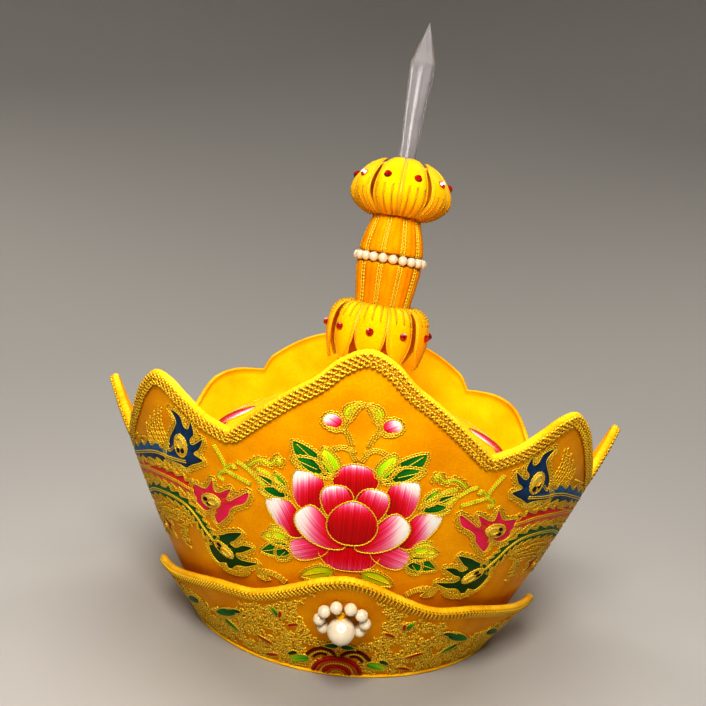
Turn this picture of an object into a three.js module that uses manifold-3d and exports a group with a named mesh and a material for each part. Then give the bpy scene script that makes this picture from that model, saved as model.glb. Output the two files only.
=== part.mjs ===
// Embroidered ceremonial crown: a padded cap inside a flared wall of petals, a visor in front,
// and a stuffed finial with two lotus rings, a string of pearls and a crystal spear on top.
// Millimetres and degrees, +Z up. The crown stands on its rim at z = 0 and faces -Y.
import * as THREE from 'three';
import { mergeVertices } from 'three/addons/utils/BufferGeometryUtils.js';
import Module from 'manifold-3d';

const wasm = await Module();
wasm.setup();

// Clearance between pieces that are sewn or tied together.
const GAP = 0.3;

// The layers at the rim, as half widths. The head oval is deeper than wide by EXTRA_DEPTH each way.
const RIM = { cap: 93.5, crown: 97.0, visor: 100.3 };
const EXTRA_DEPTH = 7;
// Moves the head oval back so that the origin lies under the middle of the whole outline.
const BACK_SHIFT = 3.2;

// The padded cap puffs out above the rim, then closes in a low dome.
const CAP = { height: 144.5, wall: 2.5, sides: 30 };
const CAP_PROFILE = [
  { height: 0, halfWidth: RIM.cap },
  { height: 22, halfWidth: 102.5 },
  { height: 45, halfWidth: 111 },
  { height: 64, halfWidth: 113 },
  { height: 80, halfWidth: 110.5 },
  { height: 96, halfWidth: 104 },
  { height: 111, halfWidth: 92.5 },
  { height: 124, halfWidth: 71 },
  { height: 134, halfWidth: 48 },
  { height: 141, halfWidth: 24 },
  { height: CAP.height, halfWidth: 0 },
];

// The crown wall leans out as it rises, less and less, and a little more at the sides.
const CROWN = { wall: 3.2, lean: 0.524, bow: 0.000733, sideLean: 0.02, rows: 3, maxStep: 5 };
const SEAM_HALF_GAP = 0.08;

// Right half of the front wall's top edge, angle from the front: three of the five pointed petals.
const FRONT_EDGE = [
  { angle: 0, height: 185.5 },
  { angle: 4.4, height: 180 },
  { angle: 7.8, height: 171 },
  { angle: 11.5, height: 164 },
  { angle: 16, height: 154.8 },
  { angle: 23.6, height: 138.5, corner: true },
  { angle: 29, height: 143.5 },
  { angle: 33, height: 151 },
  { angle: 36.5, height: 157.8 },
  { angle: 40.2, height: 160 },
  { angle: 45, height: 152 },
  { angle: 51, height: 137 },
  { angle: 60, height: 117, corner: true },
  { angle: 64.5, height: 130 },
  { angle: 67.5, height: 139 },
  { angle: 70.5, height: 143 },
  { angle: 74, height: 137.5 },
  { angle: 79, height: 120 },
  { angle: 86, height: 102.5 },
  { angle: 92, height: 91 },
  { angle: 99, height: 84, corner: true },
];

// Right half of the back wall's top edge, angle from the front: one side scallop and half the middle one.
const BACK_EDGE = [
  { angle: 99, height: 84, corner: true },
  { angle: 106, height: 87.5 },
  { angle: 112, height: 94 },
  { angle: 118.5, height: 105.5 },
  { angle: 127, height: 122 },
  { angle: 136, height: 128.6 },
  { angle: 145.5, height: 128, corner: true },
  { angle: 148.5, height: 138 },
  { angle: 152, height: 144 },
  { angle: 158, height: 152.5 },
  { angle: 166, height: 160 },
  { angle: 180, height: 164.5 },
];

// Right half of the visor's top edge, with how far the flap leans out for each millimetre of rise.
const VISOR = { wall: 3, rows: 1, maxStep: 5 };
const VISOR_EDGE = [
  { angle: 0, height: 72.6, lean: 0.62 },
  { angle: 4.7, height: 70, lean: 0.62 },
  { angle: 9.9, height: 63.8, lean: 0.62 },
  { angle: 16.5, height: 56, lean: 0.62 },
  { angle: 22, height: 51.8, lean: 0.62 },
  { angle: 31, height: 50, lean: 0.62 },
  { angle: 40, height: 45.4, lean: 0.63 },
  { angle: 53, height: 38.5, lean: 0.68 },
  { angle: 65, height: 34.5, lean: 0.73 },
];

// Gold braid laid on the outer face, just under a top edge.
const BRAID = { drop: 1, width: 5.5, thickness: 1.2 };

// Pearls of the rosette, on the visor's face: an arch of small ones over a large one set lower.
const ROSETTE = { height: 48.4, drop: 2.8, centre: 14, small: 6.6, ring: 11.3, count: 8, step: 36 };

// The finial stands on the cap and leans a little to the right.
const FINIAL = { offset: 2.2, lean: 3.7, foot: CAP.height + GAP };
const PETAL_COUNT = 10;
const PETAL_STEP = 360 / PETAL_COUNT;

// Stuffed stem of sewn strips, pinched where the string of pearls is tied.
const STEM_PROFILE = [
  { height: 0, radius: 16.8 },
  { height: 28, radius: 17.4 },
  { height: 51.5, radius: 18.2 },
  { height: 66, radius: 20 },
  { height: 78, radius: 21.2 },
  { height: 80.5, radius: 17.5 },
  { height: 84.5, radius: 17.5 },
  { height: 87, radius: 20.8 },
  { height: 95.5, radius: 19.6 },
  { height: 104.5, radius: 16.9 },
  { height: 111.5, radius: 15.2 },
  { height: 117.5, radius: 14.4 },
];
const STEM = { seamDepth: 1.2, turn: 2, sides: 3 * PETAL_COUNT };

const PEARL_RING = { height: 82.5, radius: 21.1, pearl: 6.2, count: 21, thread: 1.2 };

// Lotus petals: the middle line from root to tip, and half the angle each petal spans.
const COLLAR_PETAL = [
  { radius: 18.6, height: 52.5, halfAngle: 18.6 },
  { radius: 24, height: 51, halfAngle: 18.6 },
  { radius: 28.5, height: 45.5, halfAngle: 17.8 },
  { radius: 30.4, height: 36.5, halfAngle: 17.8 },
  { radius: 29.6, height: 27, halfAngle: 14.5 },
  { radius: 26.5, height: 14.5, halfAngle: 0.8 },
];
const BUD_PETAL = [
  { radius: 15.7, height: 110.5, halfAngle: 18.6 },
  { radius: 22.5, height: 114, halfAngle: 18.6 },
  { radius: 28, height: 120, halfAngle: 17.8 },
  { radius: 28.6, height: 126.5, halfAngle: 17.6 },
  { radius: 26, height: 132.5, halfAngle: 16.5 },
  { radius: 20.5, height: 139.5, halfAngle: 13.5 },
  { radius: 13, height: 144, halfAngle: 2.5 },
];
const PETAL = { wall: 2, swell: 1.6, columns: 4, collarTurn: -9, budTurn: 16 };

// One faceted red stone on each petal, on the given row of the petal's middle line.
const STONE = { width: 5.2, table: 3, girdle: 0.5, height: 1.9, facets: 8, collarRow: 3, budRow: 4 };

const CRYSTAL_PROFILE = [
  { height: 0, radius: 3.4 },
  { height: 4, radius: 4 },
  { height: 88, radius: 8.2 },
  { height: 114.5, radius: 0 },
];
const CRYSTAL = { foot: 118, facets: 8 };

const radians = THREE.MathUtils.degToRad;

// Point of the head oval, for an angle from the front, at a half width and a height.
function ovalPoint(angle, halfWidth, height) {
  const turn = radians(angle);
  const depth = halfWidth + EXTRA_DEPTH;
  return new THREE.Vector3(halfWidth * Math.sin(turn), BACK_SHIFT - depth * Math.cos(turn), height);
}

function crownHalfWidth(angle, height) {
  const side = CROWN.sideLean * Math.sin(radians(angle)) ** 2;
  return RIM.crown + (CROWN.lean + side) * height - CROWN.bow * height ** 2;
}

function visorHalfWidth(angle, height) {
  return RIM.visor + edgeValue(visorEdge, angle, 'lean') * height;
}

// The whole edge from its right half: mirrored about the front, or about the back.
function mirrored(half, about) {
  const other = half.filter((row) => row.angle !== about);
  const image = other.map((row) => ({ ...row, angle: 2 * about - row.angle }));
  return [...half, ...image].sort((a, b) => a.angle - b.angle);
}

const frontEdge = mirrored(FRONT_EDGE, 0);
const backEdge = mirrored(BACK_EDGE, 180);
const visorEdge = mirrored(VISOR_EDGE, 0);

// Slope of one column of an edge table at a row; corners and ends take the slope of one side only.
function edgeSlope(edge, index, side, column) {
  const ownSide = edge[index].corner || index === 0 || index === edge.length - 1;
  const from = edge[ownSide && side > 0 ? index : index - 1];
  const to = edge[ownSide && side < 0 ? index : index + 1];
  return (to[column] - from[column]) / (to.angle - from.angle);
}

// Smooth value of one column of an edge table between its rows.
function edgeValue(edge, angle, column) {
  const next = edge.findIndex((row) => row.angle > angle);
  const index = next < 0 ? edge.length - 2 : Math.max(next - 1, 0);
  const [a, b] = [edge[index], edge[index + 1]];
  const span = b.angle - a.angle;
  const t = (angle - a.angle) / span;
  const slopeA = edgeSlope(edge, index, 1, column) * span;
  const slopeB = edgeSlope(edge, index + 1, -1, column) * span;
  const rise = b[column] - a[column];
  return a[column] + slopeA * t + (3 * rise - 2 * slopeA - slopeB) * t ** 2
    + (slopeA + slopeB - 2 * rise) * t ** 3;
}

// Angles at which a wall has its upright columns: each row of the edge, with even steps between.
function columnAngles(edge, maxStep) {
  const angles = [];
  edge.slice(0, -1).forEach((row, index) => {
    const span = edge[index + 1].angle - row.angle;
    const steps = Math.ceil(span / maxStep);
    for (let k = 0; k < steps; k += 1) {
      angles.push(row.angle + (span * k) / steps);
    }
  });
  angles[0] += SEAM_HALF_GAP;
  angles.push(edge.at(-1).angle - SEAM_HALF_GAP);
  return angles;
}

// Closed geometry from points and triangles, turned outward if it came out inside out.
function closedGeometry(points, triangles) {
  const corner = (index) => points[index];
  const volume = triangles.reduce((sum, [a, b, c]) => {
    const cross = new THREE.Vector3().crossVectors(corner(b), corner(c));
    return sum + corner(a).dot(cross);
  }, 0);
  const outward = volume < 0 ? triangles.map(([a, b, c]) => [a, c, b]) : triangles;
  const geometry = new THREE.BufferGeometry();
  geometry.setFromPoints(points);
  geometry.setIndex(outward.flat());
  geometry.computeVertexNormals();
  return geometry;
}

// A thin wall from its upright columns, each with an outer and an inner line of points.
function wallGeometry(columns) {
  const rows = columns[0].outer.length;
  const loop = 2 * rows;
  const points = columns.flatMap(({ outer, inner }) => [...outer, ...inner.toReversed()]);
  const triangles = [];
  const quad = (a, b, c, d) => triangles.push([a, b, c], [a, c, d]);
  for (let column = 0; column < columns.length - 1; column += 1) {
    const here = column * loop;
    for (let k = 0; k < loop; k += 1) {
      const next = (k + 1) % loop;
      quad(here + k, here + loop + k, here + loop + next, here + next);
    }
  }
  const last = (columns.length - 1) * loop;
  for (let row = 0; row < rows - 1; row += 1) {
    const back = loop - 1 - row;
    quad(row, row + 1, back - 1, back);
    quad(last + row, last + back, last + back - 1, last + row + 1);
  }
  return closedGeometry(points, triangles);
}

// Wall that stands on the rim and ends at a top edge.
function standingWall(edge, { wall, rows, maxStep }, halfWidthAt) {
  const columns = columnAngles(edge, maxStep).map((angle) => {
    const top = edgeValue(edge, angle, 'height');
    const heights = Array.from({ length: rows + 1 }, (_, row) => (top * row) / rows);
    const line = (inset) => heights.map((z) => ovalPoint(angle, halfWidthAt(angle, z) - inset, z));
    return { outer: line(0), inner: line(wall) };
  });
  return wallGeometry(columns);
}

// Flat braid that follows a top edge on the wall's outer face.
function edgeBraid(edge, maxStep, halfWidthAt) {
  const columns = columnAngles(edge, maxStep).map((angle) => {
    const top = edgeValue(edge, angle, 'height') - BRAID.drop;
    const line = (lift) => [top - BRAID.width, top]
      .map((z) => ovalPoint(angle, halfWidthAt(angle, z) + lift, z));
    return { outer: line(GAP + BRAID.thickness), inner: line(GAP) };
  });
  return wallGeometry(columns);
}

// Turned solid from a table of heights and radii, closed on its axis at both ends, with +Z up.
function turned(profile, sides) {
  const outline = profile.map((row) => new THREE.Vector2(row.radius, row.height));
  const ends = [outline[0], outline.at(-1)].map((point) => new THREE.Vector2(0, point.y));
  const closed = [ends[0], ...outline.filter((point) => point.x > 0), ends[1]];
  const geometry = new THREE.LatheGeometry(closed, sides);
  geometry.rotateX(Math.PI / 2);
  return geometry;
}

// Cap: an oval shell, open below, whose inside is its outside drawn in by the wall.
function capGeometry() {
  const widest = Math.max(...CAP_PROFILE.map((row) => row.halfWidth));
  const line = (inset) => CAP_PROFILE.map((row) => new THREE.Vector2(
    row.halfWidth * (1 - inset / widest),
    row.height * (1 - inset / CAP.height),
  ));
  const geometry = new THREE.LatheGeometry([...line(CAP.wall).toReversed(), ...line(0)], CAP.sides);
  geometry.rotateX(Math.PI / 2);
  geometry.scale(1, (RIM.cap + EXTRA_DEPTH) / RIM.cap, 1);
  geometry.translate(0, BACK_SHIFT, 0);
  return geometry;
}

// Stem: a turned form whose radius dips at each seam between two strips.
function stemGeometry() {
  const geometry = turned(STEM_PROFILE, STEM.sides);
  const position = geometry.getAttribute('position');
  for (let index = 0; index < position.count; index += 1) {
    const x = position.getX(index);
    const y = position.getY(index);
    const radius = Math.hypot(x, y);
    const turn = Math.atan2(x, -y) - radians(STEM.turn);
    const dip = STEM.seamDepth * (1 - Math.abs(Math.cos((PETAL_COUNT / 2) * turn))) ** 2;
    const scale = radius > STEM.seamDepth ? (radius - dip) / radius : 1;
    position.setXY(index, x * scale, y * scale);
  }
  return geometry;
}

// Point on a petal's inner face: across runs from -1 to 1, and the middle swells outward.
function petalPoint(row, turn, across, lift) {
  const angle = radians(turn + across * row.halfAngle);
  const radius = row.radius + PETAL.swell * (1 - across ** 2) + lift;
  return new THREE.Vector3(radius * Math.sin(angle), -radius * Math.cos(angle), row.height);
}

function petalGeometry(rows, turn) {
  const steps = Array.from({ length: PETAL.columns + 1 }, (_, k) => (2 * k) / PETAL.columns - 1);
  const columns = steps.map((across) => ({
    outer: rows.map((row) => petalPoint(row, turn, across, PETAL.wall)),
    inner: rows.map((row) => petalPoint(row, turn, across, 0)),
  }));
  return wallGeometry(columns);
}

function toSolid(geometry) {
  const bare = geometry.clone();
  bare.deleteAttribute('normal');
  bare.deleteAttribute('uv');
  const merged = mergeVertices(bare, 1e-4);
  const vertProperties = new Float32Array(merged.getAttribute('position').array);
  const triVerts = new Uint32Array(merged.index.array);
  return new wasm.Manifold(new wasm.Mesh({ numProp: 3, vertProperties, triVerts }));
}

function joined(geometries) {
  const solid = geometries.map(toSolid).reduce((sum, piece) => sum.add(piece));
  const mesh = solid.getMesh();
  const geometry = new THREE.BufferGeometry();
  geometry.setAttribute('position', new THREE.BufferAttribute(mesh.vertProperties, 3));
  geometry.setIndex(new THREE.BufferAttribute(mesh.triVerts, 1));
  geometry.computeVertexNormals();
  return geometry;
}

const petalTurns = (first) => Array.from({ length: PETAL_COUNT }, (_, k) => first + k * PETAL_STEP);

function lotusGeometry(rows, first) {
  return joined(petalTurns(first).map((turn) => petalGeometry(rows, turn)));
}

function pearlGeometry(diameter, sides = 10, bands = 5) {
  return new THREE.SphereGeometry(diameter / 2, sides, bands);
}

// String of pearls on its thread, tied into a ring.
function pearlRingGeometry() {
  const thread = new THREE.TorusGeometry(PEARL_RING.radius, PEARL_RING.thread / 2, 3, PEARL_RING.count);
  const pearls = Array.from({ length: PEARL_RING.count }, (_, k) => {
    const turn = (2 * Math.PI * k) / PEARL_RING.count;
    const pearl = pearlGeometry(PEARL_RING.pearl, 10, 4);
    return pearl.translate(PEARL_RING.radius * Math.cos(turn), PEARL_RING.radius * Math.sin(turn), 0);
  });
  return joined([thread, ...pearls]);
}

function stoneGeometry() {
  const profile = [
    { height: 0, radius: STONE.width / 2 },
    { height: STONE.girdle, radius: STONE.width / 2 },
    { height: STONE.height, radius: STONE.table / 2 },
  ];
  return turned(profile, STONE.facets);
}

const satin = () => new THREE.MeshStandardMaterial({ color: 0xd98a0a, roughness: 0.55, metalness: 0 });
const yellowSatin = () => new THREE.MeshStandardMaterial({ color: 0xf6b70c, roughness: 0.6, metalness: 0 });
const goldBraid = () => new THREE.MeshStandardMaterial({ color: 0xd9b634, roughness: 0.4, metalness: 0.6 });
const pearlCoat = () => new THREE.MeshStandardMaterial({ color: 0xf2e4cc, roughness: 0.25, metalness: 0 });
const redGlass = () => new THREE.MeshStandardMaterial({ color: 0xb81c10, roughness: 0.1, metalness: 0 });
const clearGlass = () => new THREE.MeshStandardMaterial({ color: 0xe6e4e8, roughness: 0.05, metalness: 0 });

function piece(name, geometry, material) {
  const mesh = new THREE.Mesh(geometry, material);
  mesh.name = name;
  return mesh;
}

const crown = new THREE.Group();
crown.add(
  piece('inner_cap', capGeometry(), yellowSatin()),
  piece('crown_front', standingWall(frontEdge, CROWN, crownHalfWidth), satin()),
  piece('crown_back', standingWall(backEdge, CROWN, crownHalfWidth), satin()),
  piece('crown_braid', edgeBraid(frontEdge, CROWN.maxStep, crownHalfWidth), goldBraid()),
  piece('visor', standingWall(visorEdge, VISOR, visorHalfWidth), satin()),
  piece('visor_braid', edgeBraid(visorEdge, VISOR.maxStep, visorHalfWidth), goldBraid()),
);

// Rosette: its own +Z points straight out of the visor's face, and its +Y up the slope.
const rosette = new THREE.Group();
rosette.position.copy(ovalPoint(0, visorHalfWidth(0, ROSETTE.height), ROSETTE.height));
rosette.rotation.x = Math.PI / 2 + Math.atan(VISOR_EDGE[0].lean);
const bigPearl = piece('rosette_pearl_centre', pearlGeometry(ROSETTE.centre, 14, 9), pearlCoat());
bigPearl.position.set(0, -ROSETTE.drop, ROSETTE.centre / 2 + GAP);
rosette.add(bigPearl);
for (let k = 0; k < ROSETTE.count; k += 1) {
  const turn = radians(90 + (k - (ROSETTE.count - 1) / 2) * ROSETTE.step);
  const pearl = piece(`rosette_pearl_${k + 1}`, pearlGeometry(ROSETTE.small), pearlCoat());
  pearl.position.set(ROSETTE.ring * Math.cos(turn), ROSETTE.ring * Math.sin(turn), ROSETTE.small / 2 + GAP);
  rosette.add(pearl);
}
crown.add(rosette);

const finial = new THREE.Group();
finial.position.set(FINIAL.offset, BACK_SHIFT, FINIAL.foot);
finial.rotation.y = radians(FINIAL.lean);
finial.add(
  piece('stem', stemGeometry(), yellowSatin()),
  piece('collar_lotus', lotusGeometry(COLLAR_PETAL, PETAL.collarTurn), yellowSatin()),
  piece('bud_lotus', lotusGeometry(BUD_PETAL, PETAL.budTurn), yellowSatin()),
);
const pearlRing = piece('pearl_ring', pearlRingGeometry(), pearlCoat());
pearlRing.position.z = PEARL_RING.height;
const crystal = piece('crystal_spike', turned(CRYSTAL_PROFILE, CRYSTAL.facets), clearGlass());
crystal.position.z = CRYSTAL.foot;
finial.add(pearlRing, crystal);

// Stones sit on the swell of each petal, square to its middle line.
function addStones(name, rows, row, first) {
  petalTurns(first).forEach((turn, k) => {
    const [below, here, above] = [-1, 0, 1].map((step) => petalPoint(rows[row + step], turn, 0, PETAL.wall));
    const along = above.clone().sub(below).normalize();
    const sideways = new THREE.Vector3(Math.cos(radians(turn)), Math.sin(radians(turn)), 0);
    const outward = new THREE.Vector3().crossVectors(along, sideways);
    outward.multiplyScalar(Math.sign(outward.dot(here.clone().setZ(0))));
    const stone = piece(`${name}_${k + 1}`, stoneGeometry(), redGlass());
    stone.position.copy(here).addScaledVector(outward, GAP);
    stone.quaternion.setFromUnitVectors(new THREE.Vector3(0, 0, 1), outward);
    finial.add(stone);
  });
}
addStones('collar_stone', COLLAR_PETAL, STONE.collarRow, PETAL.collarTurn);
addStones('bud_stone', BUD_PETAL, STONE.budRow, PETAL.budTurn);
crown.add(finial);

export default crown;
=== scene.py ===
"""Looks of an embroidered ceremonial crown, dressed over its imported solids.

Sizes are in millimetres and angles in degrees from the front; meshes are made in metres. It faces -Y.
"""
import math
import random

import bpy
import numpy as np
from mathutils import Matrix, Vector


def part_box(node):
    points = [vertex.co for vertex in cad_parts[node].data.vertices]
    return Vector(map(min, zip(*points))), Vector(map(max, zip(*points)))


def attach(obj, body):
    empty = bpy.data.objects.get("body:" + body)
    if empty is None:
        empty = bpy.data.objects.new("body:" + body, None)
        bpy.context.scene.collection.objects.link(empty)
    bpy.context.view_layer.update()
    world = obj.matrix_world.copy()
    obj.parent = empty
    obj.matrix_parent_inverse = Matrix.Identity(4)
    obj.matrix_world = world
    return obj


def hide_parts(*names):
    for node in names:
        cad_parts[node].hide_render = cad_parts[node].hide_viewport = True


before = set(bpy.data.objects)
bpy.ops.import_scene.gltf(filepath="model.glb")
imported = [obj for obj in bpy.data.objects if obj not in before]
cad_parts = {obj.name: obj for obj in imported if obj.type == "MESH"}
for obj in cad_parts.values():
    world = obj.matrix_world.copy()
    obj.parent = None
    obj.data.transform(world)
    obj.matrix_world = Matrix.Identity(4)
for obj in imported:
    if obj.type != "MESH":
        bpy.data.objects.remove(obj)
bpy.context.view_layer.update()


# Inner cap.
# A soft cap of bright yellow satin, padded and lined, that fits the head inside the crown.
# It is sewn to the wall along the rim, and the finial is tied down on its top.
MM = 0.001
EXTRA_DEPTH = 7  # how much longer the head oval's half length is than its half width
BACK_SHIFT = 3.2
CAP_RIM = 93.5
CAP_WALL = 2.5
CAP_PROFILE = [  # height, half width
    (0, 93.5), (22, 102.5), (45, 111), (64, 113), (80, 110.5), (96, 104),
    (111, 92.5), (124, 71), (134, 48), (141, 24), (144.4, 0.8),
]
CAP_ROWS = 48
CAP_COLUMNS = 96
CAP_CLOTH = {"degree": 1.9, "rise": 230}  # cloth to a degree round the cap, and from its rim to its top


def linear(hex_colour):
    """Linear red, green, blue and alpha of an sRGB hex colour."""
    channels = [int(hex_colour[k:k + 2], 16) / 255 for k in (1, 3, 5)]
    bent = [c / 12.92 if c <= 0.04045 else ((c + 0.055) / 1.055) ** 2.4 for c in channels]
    return (*bent, 1.0)


def add_node(material, kind, inputs=None, stops=(), **settings):
    """A shader node with its settings, colour stops and inputs, each a value or another node's socket."""
    node = material.node_tree.nodes.new("ShaderNode" + kind)
    for name, value in settings.items():
        setattr(node, name, value)
    for name, value in (inputs or {}).items():
        if isinstance(value, bpy.types.NodeSocket):
            material.node_tree.links.new(value, node.inputs[name])
        else:
            node.inputs[name].default_value = value
    for index, (position, colour) in enumerate(stops):
        elements = node.color_ramp.elements
        element = elements[index] if index < 2 else elements.new(position)
        element.position = position
        element.color = linear(colour)
    return node


def new_material(name, metallic=0.0, roughness=0.5, **inputs):
    """A material and its shader, whose plain values are set on the shader's own sockets."""
    material = bpy.data.materials.new(name)
    material.use_nodes = True
    shader = material.node_tree.nodes["Principled BSDF"]
    shader.inputs["Metallic"].default_value = metallic
    shader.inputs["Roughness"].default_value = roughness
    for socket, value in inputs.items():
        shader.inputs[socket.replace("_", " ").title().replace("Ior", "IOR")].default_value = value
    return material, shader


def dressed(material, shader, colour, pattern, strength, depth):
    """A material given its colour, and a fine relief that follows a pattern."""
    bump = add_node(material, "Bump", {"Height": pattern, "Strength": strength, "Distance": depth * MM})
    material.node_tree.links.new(colour, shader.inputs["Base Color"])
    material.node_tree.links.new(bump.outputs["Normal"], shader.inputs["Normal"])
    return material


def wave_scale(period):
    """Scale of Blender's wave bands that repeat every period of the coordinate."""
    return math.pi / 10 / period


def satin(name, dark, middle, light, thread=0.55, relief=0.1):
    """Woven silk satin: long smooth floats in one direction, with fine upright lines of painted sheen, and a
    soft shine.

    Real floats are about 0.2 mm wide; they are drawn coarser so that they show. Cloth places are in mm.
    """
    material, shader = new_material(name, roughness=0.42, specular_ior_level=0.08,
                                    specular_tint=linear("#FFC428"))
    cloth = add_node(material, "UVMap").outputs["UV"]
    floats = add_node(material, "TexWave", {
        "Vector": cloth, "Scale": wave_scale(thread), "Distortion": 1.6, "Detail": 2.0, "Detail Scale": 0.6,
    }).outputs["Fac"]
    # Blotches between the dark and light shades: partly slubs in the silk, partly painted patches of sheen.
    slubs_and_sheen = add_node(material, "TexNoise", {"Vector": cloth, "Scale": 0.05, "Detail": 3.0})
    grain = add_node(material, "TexNoise", {"Vector": cloth, "Scale": 0.9, "Detail": 3.0})
    blend = add_node(material, "Mix", {0: 0.4, 2: slubs_and_sheen.outputs["Fac"], 3: grain.outputs["Fac"]})
    shade = add_node(material, "ValToRGB", {"Fac": blend.outputs[0]},
                     stops=[(0.35, dark), (0.65, light), (0.5, middle)]).outputs["Color"]
    # Painted sheen: the crests of the floats are drawn in the lightest shade.
    float_sheen_lines = add_node(material, "Mix", {0: floats, "A": shade, "B": linear(light)}, data_type="RGBA")
    soft = add_node(material, "Mix", {0: 0.16, "A": shade, "B": float_sheen_lines.outputs["Result"]}, data_type="RGBA")
    return dressed(material, shader, soft.outputs["Result"], floats, 0.35, relief)


def smooth(rows, count):
    """Points of a smooth curve through the rows of a table."""
    rows = np.asarray(rows, float)
    padded = np.vstack([2 * rows[0] - rows[1], rows, 2 * rows[-1] - rows[-2]])
    place = np.linspace(0, len(rows) - 1, count)
    index = np.minimum(place.astype(int), len(rows) - 2)
    t = (place - index)[:, None]
    a, b, c, d = (padded[index + k] for k in range(4))
    return b + 0.5 * t * (c - a + t * (2 * a - 5 * b + 4 * c - d + t * (3 * (b - c) + d - a)))


def stacked(*coordinates):
    """Points from their coordinates, which are spread over one grid."""
    return np.stack(np.broadcast_arrays(*coordinates), -1)


def grid_faces(rows, columns, closed=False):
    """Quads of a grid of points; closed joins its last column to its first."""
    row, column = np.meshgrid(np.arange(rows - 1), np.arange(columns - (not closed)), indexing="ij")
    here = row * columns + column
    beside = row * columns + (column + 1) % columns
    return np.stack([here, beside, beside + columns, here + columns], -1).reshape(-1, 4).tolist()


def add_piece(name, slot, materials, points, faces, places, zones=None):
    """A mesh that rides with the crown, from points in mm, faces, and each point's place on the cloth."""
    mesh = bpy.data.meshes.new(name)
    mesh.from_pydata((np.reshape(points, (-1, 3)) * MM).tolist(), [], faces)
    for material in materials:
        mesh.materials.append(material)
    corner = np.zeros(len(mesh.loops), np.int32)
    mesh.loops.foreach_get("vertex_index", corner)
    layer = mesh.uv_layers.new(name="cloth")
    layer.data.foreach_set("uv", np.reshape(places, (-1, 2)).astype(np.float32)[corner].ravel())
    if zones is not None:
        mesh.polygons.foreach_set("material_index", np.asarray(zones, np.int32))
    mesh.polygons.foreach_set("use_smooth", np.ones(len(mesh.polygons), bool))
    mesh.update()
    piece = bpy.data.objects.new(name, mesh)
    bpy.context.scene.collection.objects.link(piece)
    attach(piece, "root")
    return piece


cap_profile = smooth(CAP_PROFILE, CAP_ROWS)


def cap_face(angle, height):
    """Points on the outside of the cap."""
    half_width = np.interp(height, cap_profile[:, 0], cap_profile[:, 1])
    turn = np.radians(angle)
    depth = half_width * (CAP_RIM + EXTRA_DEPTH) / CAP_RIM
    return stacked(half_width * np.sin(turn), BACK_SHIFT - depth * np.cos(turn), height)


cap_angles = np.linspace(0, 360, CAP_COLUMNS, endpoint=False)
cap_outside = cap_face(cap_angles, cap_profile[:, :1])
cap_widest = cap_profile[:, 1].max()
cap_shrink = 1 - CAP_WALL / np.array([cap_widest, cap_widest, cap_profile[-1, 0]])
cap_centre = np.array([0, BACK_SHIFT, 0])
cap_inside = (cap_outside[::-1] - cap_centre) * cap_shrink + cap_centre
cap_run = np.linspace(0, 2 * CAP_CLOTH["rise"], 2 * CAP_ROWS)[:, None]
cap_faces = grid_faces(2 * CAP_ROWS, CAP_COLUMNS, closed=True)
cap_last = (2 * CAP_ROWS - 1) * CAP_COLUMNS
for k in range(CAP_COLUMNS):
    beside = (k + 1) % CAP_COLUMNS
    cap_faces.append([k, cap_last + k, cap_last + beside, beside])
yellow_satin = satin("yellow satin", "#F8B004", "#FFC00A", "#FFD018")
cap = add_piece("inner_cap_satin", "yellow_satin", [yellow_satin], np.concatenate([cap_outside, cap_inside]),
                cap_faces, stacked(cap_angles * CAP_CLOTH["degree"], cap_run))
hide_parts("inner_cap")


# Crown walls.
# The front wall has five pointed petals and the back wall three round scallops: stiffened padding between
# two layers of satin, orange gold outside and yellow inside, with a bright roll sewn along the top edge.
CROWN = {"rim": 97.0, "lean": 0.524, "bow": 0.000733, "side_lean": 0.02, "wall": 3.2}
FRONT_CORNERS = (23.6, 60, 99)
BACK_CORNERS = (99, 145.5)
ROLL = 2.1
COLUMN_GAP = 0.5
OVAL_ROUNDS = 12  # enough for an angle on the oval to settle
WALL_STEP = 0.6
WALL_ROWS = 34
ROLL_ROWS = 9
WALL_CLOTH = np.array([2.4, 1.1])  # millimetres of cloth to a degree across and to a millimetre of height


def oval(angle, half_width, height):
    """Points of the head oval at a half width and a height."""
    turn = np.radians(angle)
    depth = (half_width + EXTRA_DEPTH) * np.cos(turn)
    return stacked(half_width * np.sin(turn), BACK_SHIFT - depth, height)


def wall_columns(node, start=-180):
    """The upright columns of a wall's solid: their angles, and the half width and height of each top."""
    points = np.array([v.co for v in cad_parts[node].data.vertices]) / MM
    depth = BACK_SHIFT - points[:, 1]
    turn = np.arctan2(points[:, 0], depth)
    for _ in range(OVAL_ROUNDS):
        turn = np.arctan2(points[:, 0], depth - EXTRA_DEPTH * np.cos(turn))
    half_width = np.hypot(points[:, 0], depth - EXTRA_DEPTH * np.cos(turn))
    angle = (np.degrees(turn) - start) % 360 + start
    order = np.argsort(angle)
    columns = np.split(order, np.flatnonzero(np.diff(angle[order]) > COLUMN_GAP) + 1)
    tops = [max(column, key=lambda k: (round(points[k, 2], 2), half_width[k])) for column in columns]
    return angle[tops], half_width[tops], points[tops, 2]


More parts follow.
